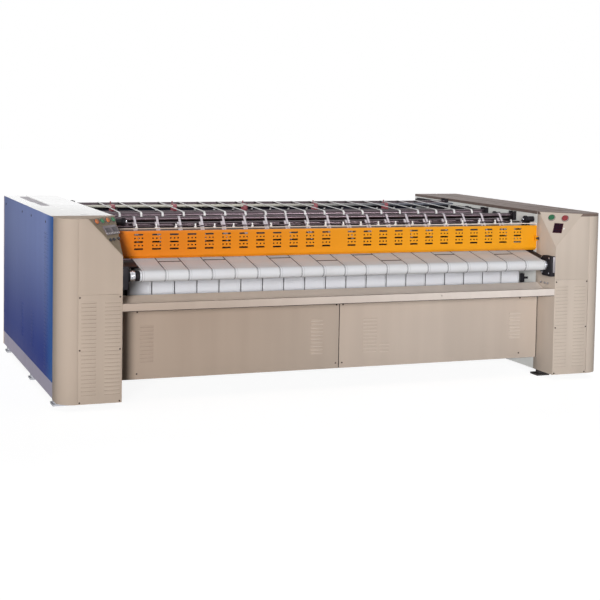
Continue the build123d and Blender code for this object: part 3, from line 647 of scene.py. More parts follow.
def draw_out(piece: Piece, length: float) -> Piece:
    """Draws a line of edges out along X into a sheet."""
    move = {"value": (length, 0, 0)}
    return work(
        piece,
        Element.EDGE,
        whole,
        lambda: bpy.ops.mesh.extrude_edges_move(TRANSFORM_OT_translate=move),
        lambda: bpy.ops.mesh.normals_make_consistent(inside=False),
    )


def cut(piece: Piece, at: Sequence[float], normal: Sequence[float], clear: bool = False) -> None:
    """Cuts the piece along a plane.

    Args:
        piece: the piece.
        at: a point on the plane.
        normal: the plane's normal.
        clear: takes away what lies in front of the plane and closes the cut.
    """
    plane = {"plane_co": tuple(at), "plane_no": tuple(normal), "use_fill": clear, "clear_outer": clear}
    work(piece, Element.FACE, whole, lambda: bpy.ops.mesh.bisect(**plane))


def carve(piece: Piece, tool: Piece) -> None:
    """Takes the tool's shape out of the piece, and the tool away."""
    modify(piece, "BOOLEAN", object=tool, operation="DIFFERENCE", solver="EXACT")
    bpy.data.objects.remove(tool, do_unlink=True)


def row(piece: Piece, count: int, step: Point) -> Piece:
    """Repeats the piece in a line."""
    offset = {"use_relative_offset": False, "use_constant_offset": True, "constant_offset_displace": step}
    return modify(piece, "ARRAY", count=count, **offset)


def gather(name: str, pieces: Sequence[Piece]) -> Piece:
    """Joins pieces into one."""
    only(pieces[0])
    for piece in pieces:
        piece.select_set(True)
    if len(pieces) > 1:
        bpy.ops.object.join()
    pieces[0].name = pieces[0].data.name = name
    return pieces[0]


def twin(piece: Piece, by: Matrix) -> Piece:
    """A copy with its own mesh, carried by the matrix; a mirrored copy is turned right side out."""
    made = piece.copy()
    made.data = piece.data.copy()
    bpy.context.scene.collection.objects.link(made)
    made.data.transform(by)
    if by.determinant() < 0:
        work(made, Element.FACE, whole, lambda: bpy.ops.mesh.flip_normals())
    return made


def both_sides(name: str, pieces: Sequence[Piece]) -> Piece:
    """The joined pieces with their mirror image on the other side of the machine."""
    piece = gather(name, pieces)
    return gather(name, [piece, twin(piece, MIRROR)])


def scatter(name: str, piece: Piece, places: Sequence[Sequence[float]]) -> Piece:
    """Copies of a piece at each place, in place of the piece itself."""
    copies = [twin(piece, Matrix.Translation(place)) for place in places]
    bpy.data.objects.remove(piece, do_unlink=True)
    return gather(name, copies)


def moved(piece: Piece, by: Matrix) -> Piece:
    """The piece, carried by the matrix."""
    piece.data.transform(by)
    return piece


def turned(piece: Piece, angle: float) -> Piece:
    """The piece turned about the world's Z axis, in degrees."""
    return moved(piece, Matrix.Rotation(math.radians(angle), 4, "Z"))


def span(side: int, near: float, far: float) -> list[float]:
    """Two distances from the middle plane as low and high X on the chosen side."""
    return sorted((side * near, side * far))


def dress(piece: Piece, finish: Finish, *nodes: str, body: str = MACHINE, angle: float = 32) -> Piece:
    """Gives a finished piece its material, its body and the nodes it stands for.

    Args:
        piece: the piece.
        finish: its finish.
        nodes: the nodes it replaces.
        body: the body it rides on.
        angle: edges sharper than this stay sharp.

    Returns:
        The piece.
    """
    only(piece)
    bpy.ops.object.shade_smooth_by_angle(angle=math.radians(angle))
    piece.data.materials.clear()
    piece.data.materials.append(finish.material())
    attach(piece, body)
    if nodes:
        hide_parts(*nodes)
    log.info("%s: %d faces on %s", piece.name, len(piece.data.polygons), body)
    return piece


def group(name: str, pieces: Sequence[Piece], finish: Finish, *nodes: str, body: str = MACHINE) -> Piece:
    """Joins the pieces and dresses the result."""
    return dress(gather(name, pieces), finish, *nodes, body=body)


def second_tone(piece: Piece, finish: Finish, test: Test) -> None:
    """Gives the faces that the test picks another finish."""
    piece.data.materials.append(finish.material())
    for face in piece.data.polygons:
        if test(face.center, face.normal):
            face.material_index = len(piece.data.materials) - 1


def sheet_along(name: str, profile: Sequence[Pair], left: float, right: float, thickness: float) -> Piece:
    """A bent sheet: an open profile drawn out along X.

    Args:
        name: the piece's name.
        profile: its bends as (y, z), in order, along the middle of the sheet.
        left: where the sheet starts.
        right: where it ends.
        thickness: of the sheet.

    Returns:
        The piece.
    """
    rest()
    bpy.ops.mesh.primitive_plane_add(size=1)
    piece = settle(name)
    work(piece, Element.POINT, whole, lambda: bpy.ops.mesh.merge(type="CENTER"))
    work(piece, Element.POINT, whole, shift(left, *profile[0]))
    for (y0, z0), (y1, z1) in zip(profile, profile[1:]):
        here, move = Vector((y0, z0)), {"value": (0, y1 - y0, z1 - z0)}
        work(
            piece,
            Element.POINT,
            lambda at, _: (at.yz - here).length < 1e-5,
            lambda: bpy.ops.mesh.extrude_vertices_move(TRANSFORM_OT_translate=move),
        )
    draw_out(piece, right - left)
    return modify(piece, "SOLIDIFY", thickness=thickness, offset=0, use_even_offset=True)


@dataclass(frozen=True)
class Louvres:
    """Pressed louvres one above another on a wall that faces -Y; at is the left of the lowest mouth."""

    at: Point
    width: float
    count: int
    depth: float
    pitch: float = 0.027
    height: float = 0.014
    brow: float = 0.010

    def bank(self) -> Piece:
        """The louvres, each a hood that slopes to the wall and narrows towards its mouth."""
        x, y, z = self.at
        width, depth, brow = self.width, self.depth, z + self.brow
        hood = block("louvre_bank", (x, y - depth, z), (x + width, y + 0.0008, z + self.height))
        work(hood, Element.POINT, lambda at, _: at.z > brow and at.y < y, shift(0, depth * 0.98, 0))
        work(
            hood,
            Element.POINT,
            lambda at, _: at.z < brow and at.y < y - depth / 2 and abs(at.x - x - width / 2) > width * 0.4,
            lambda: bpy.ops.transform.resize(value=(0.94, 1, 1)),
        )
        return row(soften(hood, depth * 0.2), self.count, (0, 0, self.pitch))

    def mouths(self) -> Piece:
        """Thin blocks in the openings under the louvres, which their finish paints dark as shade or light as a
        highlight.
        """
        x, y, z = self.at
        low, high = (x + 0.002, y - self.depth * 0.75, z - 0.0016), (x + self.width - 0.002, y + 0.0006, z + 0.0006)
        return row(block("louvre_mouths", low, high), self.count, (0, 0, self.pitch))


def axis_of(node: str) -> tuple[Pair, float]:
    """The axis (y, z) of a roller's node and its largest radius, by its own box."""
    low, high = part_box(node)
    return ((low.y + high.y) / 2, (low.z + high.z) / 2), (high.z - low.z) / 2


# ---------------------------------------------------------------- belts
@dataclass(frozen=True)
class Pulley:
    """What a belt runs round: its axis, its radius, and which way it turns the belt."""

    y: float
    z: float
    radius: float
    turn: int = 1


def taut_path(pulleys: Sequence[Pulley], step: float) -> list[Vector]:
    """Closed line stretched round pulleys, with arcs on them and straight runs between.

    Args:
        pulleys: in the order of travel; turn 1 is anticlockwise seen from +X, -1 clockwise.
        step: angle between points on an arc, in degrees.

    Returns:
        Points (0, y, z) in order.
    """
    leaving = []
    for here, there in zip(pulleys, [*pulleys[1:], pulleys[0]]):
        way = Vector((there.y - here.y, there.z - here.z))
        along = way.normalized()
        share = (here.turn * here.radius - there.turn * there.radius) / way.length
        side = Vector((along.y, -along.x))
        leaving.append(along * share + side * math.sqrt(1 - share * share))
    points = []
    for number, pulley in enumerate(pulleys):
        first, last = leaving[number - 1], leaving[number]
        start = math.atan2(first.y, first.x)
        sweep = (math.atan2(last.y, last.x) - start) % (2 * math.pi)
        if pulley.turn < 0:
            sweep -= 2 * math.pi
        count = max(2, math.ceil(abs(sweep) / math.radians(step)))
        reach = pulley.turn * pulley.radius
        for k in range(count + 1):
            angle = start + sweep * k / count
            points.append(Vector((0, pulley.y + reach * math.cos(angle), pulley.z + reach * math.sin(angle))))
    return points


def loop_belt(
    name: str, pulleys: Sequence[Pulley], left: float, width: float, thickness: float, step: float = 9
) -> Piece:
    """One endless belt with a map that runs across and along it.

    Args:
        name: the piece's name.
        pulleys: what it runs round, with radii to its outer side.
        left: its left edge.
        width: its width.
        thickness: its thickness, inwards.
        step: degrees between points on an arc.

    Returns:
        The belt.
    """
    path = taut_path(pulleys, step)
    rest()
    bpy.ops.mesh.primitive_circle_add(vertices=len(path), radius=1)
    belt = settle(name)
    for vertex, point in zip(belt.data.vertices, path):
        vertex.co = point + Vector((left, 0, 0))
    draw_out(belt, width)
    travelled, total = [], 0.0
    for here, there in zip(path, [*path[1:], path[0]]):
        travelled.append(total)
        total += (there - here).length
    weave = belt.data.uv_layers.new(name="weave")
    for face in belt.data.polygons:
        spots = [belt.data.loops[i].vertex_index for i in face.loop_indices]
        alongs = [travelled[spot % len(path)] for spot in spots]
        over = max(alongs) - min(alongs) > total / 2
        for corner, spot, along in zip(face.loop_indices, spots, alongs):
            along += total if over and along < total / 2 else 0
            weave.data[corner].uv = (belt.data.vertices[spot].co.x - left, along)
    return modify(belt, "SOLIDIFY", thickness=thickness, offset=-1, use_even_offset=True)


@dataclass(frozen=True)
class Belts:
    """Feed belts, ironing belts and guide tapes, each a row of endless loops."""

    count: int = 19
    feed_thickness: float = 0.002
    press_thickness: float = 0.003
    tape_width: float = 0.016
    tape_thickness: float = 0.002
    gap: float = 0.0004
    roll_radius: float = 0.395
    lace_half: float = 0.008
    lace_rise: float = 0.0007
    joint_places: tuple[tuple[int, float], ...] = (
        (1, 0.62), (3, 0.68), (6, 0.70), (8, 0.40), (10, 0.80), (11, 0.28), (14, 0.66), (17, 0.58),
    )

    def pulleys(self, thickness: float, *nodes: str, turn: int = 1, reach: float | None = None) -> list[Pulley]:
        """What a belt meets at rollers, by their nodes' own boxes.

        Args:
            thickness: of the belt where it lies outside the rollers.
            nodes: the rollers, in the order of travel.
            turn: which way they turn the belt.
            reach: radius to use where a node's box is larger.

        Returns:
            The pulleys.
        """
        made = []
        for node in nodes:
            (y, z), radius = axis_of(node)
            made.append(Pulley(y, z, (reach or radius) + self.gap + thickness, turn))
        return made

    def rank(self, name: str, belt: Piece, finish: Finish, node: str) -> None:
        """The belt repeated across the machine, dressed for its node."""
        steps = range(1, self.count)
        copies = [twin(belt, Matrix.Translation((number * BELT_PITCH, 0, 0))) for number in steps]
        group(name, [belt, *copies], finish, node)

    def feed(self) -> None:
        """Feed belts with their laced joints."""
        start, end = rollers = self.pulleys(self.feed_thickness, "feed_roller", "feed_end_roller")
        belt = loop_belt("feed_belt_set", rollers, BELT_LEFT, BELT_WIDTH, self.feed_thickness)
        self.rank("feed_belt_set", belt, BELT, "feed_belts")
        run = Vector((0, end.y - start.y, end.z - start.z))
        up = Vector((0, -run.z, run.y)).normalized()
        slope = Matrix.Rotation(math.atan2(run.z, run.y), 4, "X")
        joints = []
        for number, share in self.joint_places:
            at = Vector((0, start.y, start.z)) + run * share + up * (start.radius - HAIR)
            left = BELT_LEFT + number * BELT_PITCH
            high = (left + BELT_WIDTH, self.lace_half, self.lace_rise)
            lace = block("belt_lacing", (left, -self.lace_half, 0), high)
            joints.append(moved(lace, Matrix.Translation(at) @ slope))
        group("belt_lacings", joints, GAP)

    def press(self) -> None:
        """Ironing belts that pass under both rolls and round the four turn rollers."""
        thick = self.press_thickness
        turns = self.pulleys(
            thick, "upper_front_roller", "lower_front_roller", "lower_rear_roller", "upper_rear_roller"
        )
        rolls = self.pulleys(0, "rear_roll", "front_roll", turn=-1, reach=self.roll_radius)
        belt = loop_belt("ironing_belt_set", turns + rolls, BELT_LEFT, BELT_WIDTH, thick, 6)
        self.rank("ironing_belt_set", belt, PRESS_BELT, "ironing_belts")

    def tapes(self) -> None:
        """Front and rear guide tapes."""
        left = BELT_LEFT + (BELT_WIDTH - self.tape_width) / 2
        for name, node, finish, *rollers in (
            ("front_tape_set", "front_tapes", SHADED_TAPE, "nip_tape_roller", "front_tape_roller"),
            ("rear_tape_set", "rear_tapes", TAPE, "middle_tape_roller", "lower_tape_roller", "rear_tape_roller"),
        ):
            pulleys = self.pulleys(self.tape_thickness, *rollers)
            tape = loop_belt(name, pulleys, left, self.tape_width, self.tape_thickness, 12)
            self.rank(name, tape, finish, node)

    def build(self) -> None:
        """Makes all the belts."""
        self.feed()
        self.press()
        self.tapes()


# ---------------------------------------------------------------- cabinets
@dataclass(frozen=True)
class Cabinets:
    """Hoods, louvred access panels, side panels and covers of the two cabinets."""

    hood_back: float = -0.980
    foot: float = 0.040
    corner: float = 0.120
    sheet: float = 0.003
    gap: float = 0.0015
    seam_y: float = -1.054
    window: Pair = (-1.985, -1.688)
    window_top: float = 0.780
    fold: float = 0.002
    facet_inset: float = 0.012
    facet: tuple[Point, Point, Point] = (
        (-INNER_WALL, FRONT, 1.032),
        (-1.925, FRONT, TOP),
        (-INNER_WALL, -1.000, TOP),
    )
    panel_y: float = -1.2675
    panel_xs: Pair = (-1.9847, -1.6883)
    panel_top: float = 0.7785
    columns: tuple[Pair, ...] = ((0.020, 0.103), (0.179, 0.109))
    louvres: int = 24
    louvre_base: float = 0.102
    louvre_depth: float = 0.0023
    side_face: float = 2.1125
    side_low: float = 0.150
    side_fold: float = 0.022
    side_columns: tuple[tuple[float, float, float, int], ...] = (
        (-0.772, 0.205, 0.150, 36), (-0.190, 0.272, 0.120, 10), (0.290, 0.272, 0.120, 10),
    )
    side_screws: tuple[Pair, ...] = ((0.299, 1.226), (-0.128, 1.228), (-0.743, 1.232), (1.150, 1.226))
    cover_z: float = 1.287
    cover_band: float = 0.022
    rib: Pair = (-1.935, -1.925)
    skirt: Pair = (1.697, 2.091)
    skirt_low: float = 1.259
    vent_xs: Pair = (-2.010, -1.950)
    vents: tuple[float, float, float, int] = (0.020, 0.024, 0.036, 30)
    slot: tuple[Pair, Pair] = ((-1.900, -0.890), (-1.850, -0.878))
    strips: tuple[Pair, ...] = ((INNER_WALL, 1.790), (1.793, 1.900), (1.912, 2.030), (2.033, OUTER_FACE))

    def hood(self) -> None:
        """Front hoods with the rounded corner, the sloping corner window and the access window."""
        low, out, inward = (Vector(corner) for corner in self.facet)
        normal = (low - out).cross(inward - out).normalized()
        normal = normal if normal.z > 0 else -normal
        left, right = self.window
        hood = block("front_hoods", (-OUTER_FACE, FRONT, self.foot), (-INNER_WALL, self.hood_back, TOP))
        faces = partial(work, hood, Element.FACE)
        work(
            hood,
            Element.EDGE,
            lambda at, _: abs(at.x + OUTER_FACE) < NEAR and abs(at.y - FRONT) < NEAR,
            chamfer(self.corner, 14),
        )
        cut(hood, low, normal, clear=True)
        faces(lambda _, way: way.y > FACING or way.z < -FACING, drop_faces)
        window_edge = partial(bpy.ops.mesh.inset, thickness=self.facet_inset)
        faces(lambda _, way: way.dot(normal) > SQUARE, window_edge, drop_faces)
        for x in (left, left + self.fold, right):
            cut(hood, (x, 0, 0), (1, 0, 0))
        cut(hood, (0, 0, self.window_top), (0, 0, 1))
        cut(hood, (0, self.seam_y, 0), (0, 1, 0))
        cut(hood, (0, 0, self.cover_z), (0, 0, 1))
        faces(lambda at, way: way.y < -FACING and left < at.x < right and at.z < self.window_top, drop_faces)
        faces(lambda at, way: way.x < -SQUARE and at.y > self.seam_y and at.z < self.cover_z, drop_faces)
        # a folded seam runs up from the edge of the access panel
        middle, half = left + self.fold / 2, self.fold * 0.45
        faces(
            lambda at, way: way.y < -FACING and abs(at.x - middle) < half and at.z > self.window_top,
            lambda: bpy.ops.mesh.extrude_region_move(TRANSFORM_OT_translate={"value": (0, self.gap, 0)}),
        )
        faces(whole, lambda: bpy.ops.mesh.remove_doubles(threshold=1e-5))
        modify(hood, "SOLIDIFY", thickness=self.sheet, offset=-1)
        band = TOP - self.cover_band
        cut(hood, (0, 0, band), (0, 0, 1))
        hoods = both_sides("front_hoods", [soften(hood, 0.0007, 2, 35)])
        dress(hoods, BEIGE, "front_covers")
        second_tone(hoods, COVER_RIGHT, lambda at, _: at.x > 0 and at.z > band)

    def access_panels(self) -> None:
        """Louvred access panels, with dark mouths of painted shade under the louvres."""
        (left, right), y, depth = self.panel_xs, self.panel_y, self.louvre_depth
        plate = block("louvred_panels", (left, y, self.foot), (right, y + self.sheet, self.panel_top), 0.0008)
        columns = [
            Louvres((left + offset, y, self.louvre_base), width, self.louvres, depth) for offset, width in self.columns
        ]
        banks = both_sides("louvred_panels", [plate, *(column.bank() for column in columns)])
        dress(banks, BEIGE, "louvre_panels")
        dress(both_sides("panel_mouths", [column.mouths() for column in columns]), MOUTH)

    def side_panels(self) -> None:
        """Blue side panels with a tall louvre column at the front and two vent groups low down."""
        face, depth = -self.side_face, self.louvre_depth
        end = BACK - self.sheet - self.gap
        panel = block(
            "blue_sides",
            (face, self.seam_y + self.gap, self.side_low),
            (face + self.side_fold, end, self.cover_z - 0.0005),
            0.0025,
        )
        # built on a wall that faces -Y, then turned to face -X
        columns = [
            Louvres((-middle - width / 2, face, z), width, count, depth)
            for middle, z, width, count in self.side_columns
        ]
        banks = both_sides("blue_sides", [panel, *(turned(column.bank(), -90) for column in columns)])
        dress(banks, BLUE, "side_panels")
        openings = [turned(column.mouths(), -90) for column in columns]
        dress(both_sides("side_mouths", openings), BLUE_MOUTH)
        heads = [axle("side_screws", face + 0.001, -OUTER_FACE, at, 0.009, 0.0008, 20) for at in self.side_screws]
        dress(both_sides("side_screws", heads), IRON)

    def covers(self) -> None:
        """Top covers: a pale one with a vent on the left, a seamed one on the right."""
        y0, z = self.hood_back + self.gap, self.cover_z
        low, high = self.skirt
        sunk, raised = TOP - 0.0013, TOP - 0.0004
        pale = [
            block("pale_cover", (-OUTER_FACE, y0, z), (-INNER_WALL, BACK, TOP - 0.0012), 0.0008),
            block("pale_cover_rib", (self.rib[0], y0, TOP - 0.0014), (self.rib[1], BACK - 0.01, TOP), 0.0004),
            block("pale_cover_skirt", (-high, y0 + 0.02, self.skirt_low), (-low, BACK - 0.005, z)),
        ]
        group("pale_cover", pale, COVER_LEFT, "top_covers")
        (left, right), (first, length, pitch, count) = self.vent_xs, self.vents
        starts = [first + i * pitch for i in range(count)]
        vent = [block("cover_vent", (left, y, sunk), (right, y + length, raised)) for y in starts]
        vent.append(block("cover_slot", (*self.slot[0], sunk), (*self.slot[1], raised)))
        group("cover_vent", vent, GREY)
        taupe = [block("taupe_cover", (x0, y0, z), (x1, BACK, TOP), 0.0008) for x0, x1 in self.strips]
        flange = ((INNER_WALL - 0.0022, y0, TOP - self.cover_band), (INNER_WALL - 0.0004, BACK - 0.001, TOP))
        taupe.append(block("taupe_flange", *flange))
        under = block("taupe_under", (low, y0 + 0.02, self.skirt_low), (high, BACK - 0.005, z + 0.0003))
        group("taupe_cover", taupe, COVER_RIGHT, "top_covers")
        dress(under, GAP)

    def build(self) -> None:
        """Makes the cabinets' outsides."""
        self.hood()
        self.access_panels()
        self.side_panels()
        self.covers()


# ---------------------------------------------------------------- panels and tray
@dataclass(frozen=True)
class LowerPanels:
    """Panels, tray and rear panels between the cabinets, and the screws of all the panels."""

    half_span: float = 1.6847
    face: float = -1.020
    low: float = 0.139
    top: float = 0.640
    fold: float = 0.022
    gap: float = 0.0015
    joint: float = 0.006
    depth: float = 0.005
    banks: tuple[tuple[float, float, float, int], ...] = (
        (-1.505, 0.262, 0.098, 10),
        (-0.226, 0.256, 0.096, 10),
        (0.192, 0.250, 0.112, 10),
        (0.326, 0.246, 0.080, 3),
        (1.434, 0.300, 0.100, 8),
    )
    rear_sink: float = 0.0025
    rear_base: float = 0.25
    rear_width: float = 0.2
    rear_inset: float = 0.12
    tray_profile: tuple[Pair, ...] = (
        (-0.998, 0.641), (-1.2685, 0.6615), (-1.2685, 0.7105), (-1.103, 0.6905), (-1.003, 0.7305),
    )
    tray_sheet: float = 0.003
    # lip_shadow: corners of a dark strip along the tray lip's lower edge, painted shadow
    lip_shadow: tuple[Pair, Pair] = ((-1.2680, 0.6568), (-1.2630, 0.6622))
    stud_places: tuple[tuple[int, float], ...] = ((1, -1.075), (1, -1.130), (1, -1.175), (-1, -1.130))
    stud_ends: Pair = (1.683, 1.674)
    stud_z: float = 0.742
    lip_stud: Pair = (0.717, 0.690)
    head: Point = (0.0062, 0.0024, 0.001)
    recess: Point = (0.004, 0.0030, 0.0007)
    cover_screws: tuple[tuple[float, ...], ...] = ((1.9727, 1.7003), (0.052, 0.407, 0.762))
    pan_screws: tuple[Pair, Pair] = ((1.5247, 0.0255), (0.179, 0.614))

    def front(self) -> None:
        """Two lower panels with louvre groups near their ends, painted shade under the first group's louvres and
        painted highlights under the others, and the dark joints beside them.
        """
        face, half = self.face, self.joint / 2
        pans = [
            block("lower_pans", (left, face, self.low), (right, face + self.fold, self.top), 0.0025)
            for left, right in ((-self.half_span, -half), (half, self.half_span - self.joint))
        ]
        banks = [Louvres((x, face, z), width, count, self.depth) for x, z, width, count in self.banks]
        pans += [bank.bank() for bank in banks]
        mouths = [bank.mouths() for bank in banks]
        y, z = (face + 0.003, face + 0.020), (self.low + 0.002, self.top - 0.002)
        joints = [
            block("pan_joints", (x - half, y[0], z[0]), (x + half - HAIR, y[1], z[1]))
            for x in (0, self.half_span - half)
        ]
        group("lower_pans", pans, SHADED_PAN, "lower_front_panels")
        # painted shade under the first group of louvres, painted highlights under the others
        group("lower_mouths", mouths[:1], MOUTH)
        group("lower_glints", mouths[1:], LOUVRE_GLINT)
        group("pan_joints", joints, GAP)

    def rear(self) -> None:
        """Two rear panels with louvres, built facing -Y and turned round, and a dark sheet of painted shade inside
        them.
        """
        low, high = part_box("rear_panels")
        face, width, inset = high.y - self.rear_sink, self.rear_width, self.rear_inset
        pans, openings = [], []
        for left, right in ((low.x, -self.gap / 2), (self.gap / 2, high.x)):
            pans.append(block("rear_pans", (left, high.y - self.fold, low.z), (right, face, high.z), 0.002))
            for x in (left + inset, right - inset - width):
                bank = Louvres((-x - width, -face, self.rear_base), width, 18, 0.0024)
                pans.append(turned(bank.bank(), 180))
                openings.append(turned(bank.mouths(), 180))
        # painted shade: a dark sheet just inside the rear panels
        inner = (high.x - 0.004, high.y - self.fold + 0.0005, high.z - 0.004)
        shade_sheet = block("rear_shade_sheet", (low.x + 0.004, high.y - self.fold - self.rear_sink, low.z + 0.02), inner)
        group("rear_pans", pans, BLUE, "rear_panels")
        group("rear_mouths", openings, BLUE_MOUTH)
        dress(shade_sheet, SHADE_SHEET)

    def tray(self) -> None:
        """Receiving tray: one bent sheet with a rolled lip, painted lighter on its upward faces, a dark strip of
        painted shadow under the lip, and studs.
        """
        half = self.half_span
        tray = sheet_along("linen_tray", self.tray_profile, -half, half, self.tray_sheet)
        dress(soften(tray, 0.004, 3, 20), LIP, "receiving_tray")
        # painted light: the faces that look up get the lighter paint
        second_tone(tray, LIT_TRAY, lambda at, way: way.z > 0.3 and at.y > -1.262)
        # painted shadow: a dark strip along the lip's lower edge
        low, high = self.lip_shadow
        dress(block("tray_lip_shadow", (0.002 - half, *low), (half - 0.002, *high)), GAP)
        wall, tip = self.stud_ends
        studs = [
            axle("tray_studs", side * wall, side * tip, (y, self.stud_z), 0.009, 0.002, 20)
            for side, y in self.stud_places
        ]
        x, z = self.lip_stud
        studs.append(drum("tray_stud_lip", (x, FRONT, z), (x, FRONT + 0.003, z), 0.007, 0.0008, 20))
        group("tray_studs", studs, CHROME)

    def screws(self) -> None:
        """Round-headed screws with a cross recess."""
        radius, rise, edge = self.head
        head = drum("cover_screws", (0, 0, 0), (0, -rise, 0), radius, edge, 20)
        long, out, thin = self.recess
        for x, z in ((long, thin), (thin, long)):
            carve(head, block("screw_recess", (-x, -out, -z), (x, -0.0016, z)))
        places = [
            (side * x, y, z)
            for y, (xs, zs) in ((-1.2675, self.cover_screws), (self.face, self.pan_screws))
            for side in (-1, 1)
            for x in xs
            for z in zs
        ]
        dress(scatter("cover_screws", head, places), SCREW, "panel_screws")

    def build(self) -> None:
        """Makes the panels between the cabinets."""
        self.front()
        self.rear()
        self.tray()
        self.screws()


# ---------------------------------------------------------------- finger guard
@dataclass(frozen=True)
class FingerGuard:
    """Orange guard: a bent sheet with groups of long slots and rows of round holes."""

    body: str = "finger_guard_body"
    half: float = 1.683
    face: float = -0.980
    top: float = 1.178
    bottom: float = 1.003
    lip: float = 0.024
    lip_drop: float = 50
    flange: float = 0.034
    sheet: float = 0.0025
    groups: int = 12
    first: float = 0.1015
    pitch: float = 0.128
    slot: Pair = (0.065, 0.012)
    slot_rows: tuple[float, ...] = (1.152, 1.101, 1.051)
    hole_rows: tuple[float, ...] = (1.1265, 1.076)
    hole_xs: tuple[float, ...] = (-0.026, 0.002, 0.027)
    hole: float = 0.0060
    pin_at: Pair = (-0.963, 1.161)
    pin_end: float = 1.694
    tab: tuple[Point, Point] = ((1.660, -1.004, 1.060), (1.682, -0.979, 1.098))
    knob: tuple[Point, Point] = ((1.671, -1.003, 1.079), (1.671, -1.028, 1.079))
    rail: tuple[Pair, Pair] = ((-0.966, 1.1895), (-0.958, 1.1965))

    def cutter(self) -> Piece:
        """All the slots and holes as one tool."""
        (length, height), deep = self.slot, 0.02
        one = [
            block("slot", (-length / 2, -deep, z - height / 2), (length / 2, deep, z + height / 2), 0.0035)
            for z in self.slot_rows
        ]
        one += [
            drum("hole", (x, -deep, z), (x, deep, z), self.hole, 0, 10) for z in self.hole_rows for x in self.hole_xs
        ]
        places = [
            (side * (self.first + number * self.pitch), self.face, 0)
            for side in (-1, 1)
            for number in range(self.groups)
        ]
        return scatter("guard_cutter", gather("guard_cutter", one), places)

    def build(self) -> None:
        """Bends the sheet, punches it and adds the ends with their pins."""
        drop, sheet, flange = math.radians(self.lip_drop), self.sheet, self.flange
        face, top = self.face + sheet / 2, self.top - sheet / 2
        lip = (face + self.lip * math.cos(drop), self.bottom - self.lip * math.sin(drop))
        profile = ((self.face + flange, top), (face, top), (face, self.bottom), lip)
        guard = sheet_along("slotted_guard", profile, -self.half, self.half, sheet)
        soften(guard, 0.003, 3, 25)
        carve(guard, self.cutter())
        pieces = [guard]
        for side in (-1, 1):
            a, b = span(side, self.half - 0.003, self.half)
            low, high = (a, self.face + sheet, self.top - flange), (b, self.face + flange, self.top - sheet)
            pieces.append(block("guard_end", low, high, 0.0006))
            pin = (side * (self.half - 0.003), side * self.pin_end)
            pieces.append(axle("guard_pin", *pin, self.pin_at, 0.007, 0.001, 20))
        pieces.append(block("guard_tab", *self.tab, 0.002))
        dress(gather("slotted_guard", pieces), ORANGE, "finger_guard", body=self.body, angle=40)
        dress(drum("guard_knob", *self.knob, 0.010, 0.003, 24), BLACK, body=self.body)
        low, high = self.rail
        dress(block("guard_rail", (-INNER_WALL, *low), (INNER_WALL, *high), 0.001), LIP)


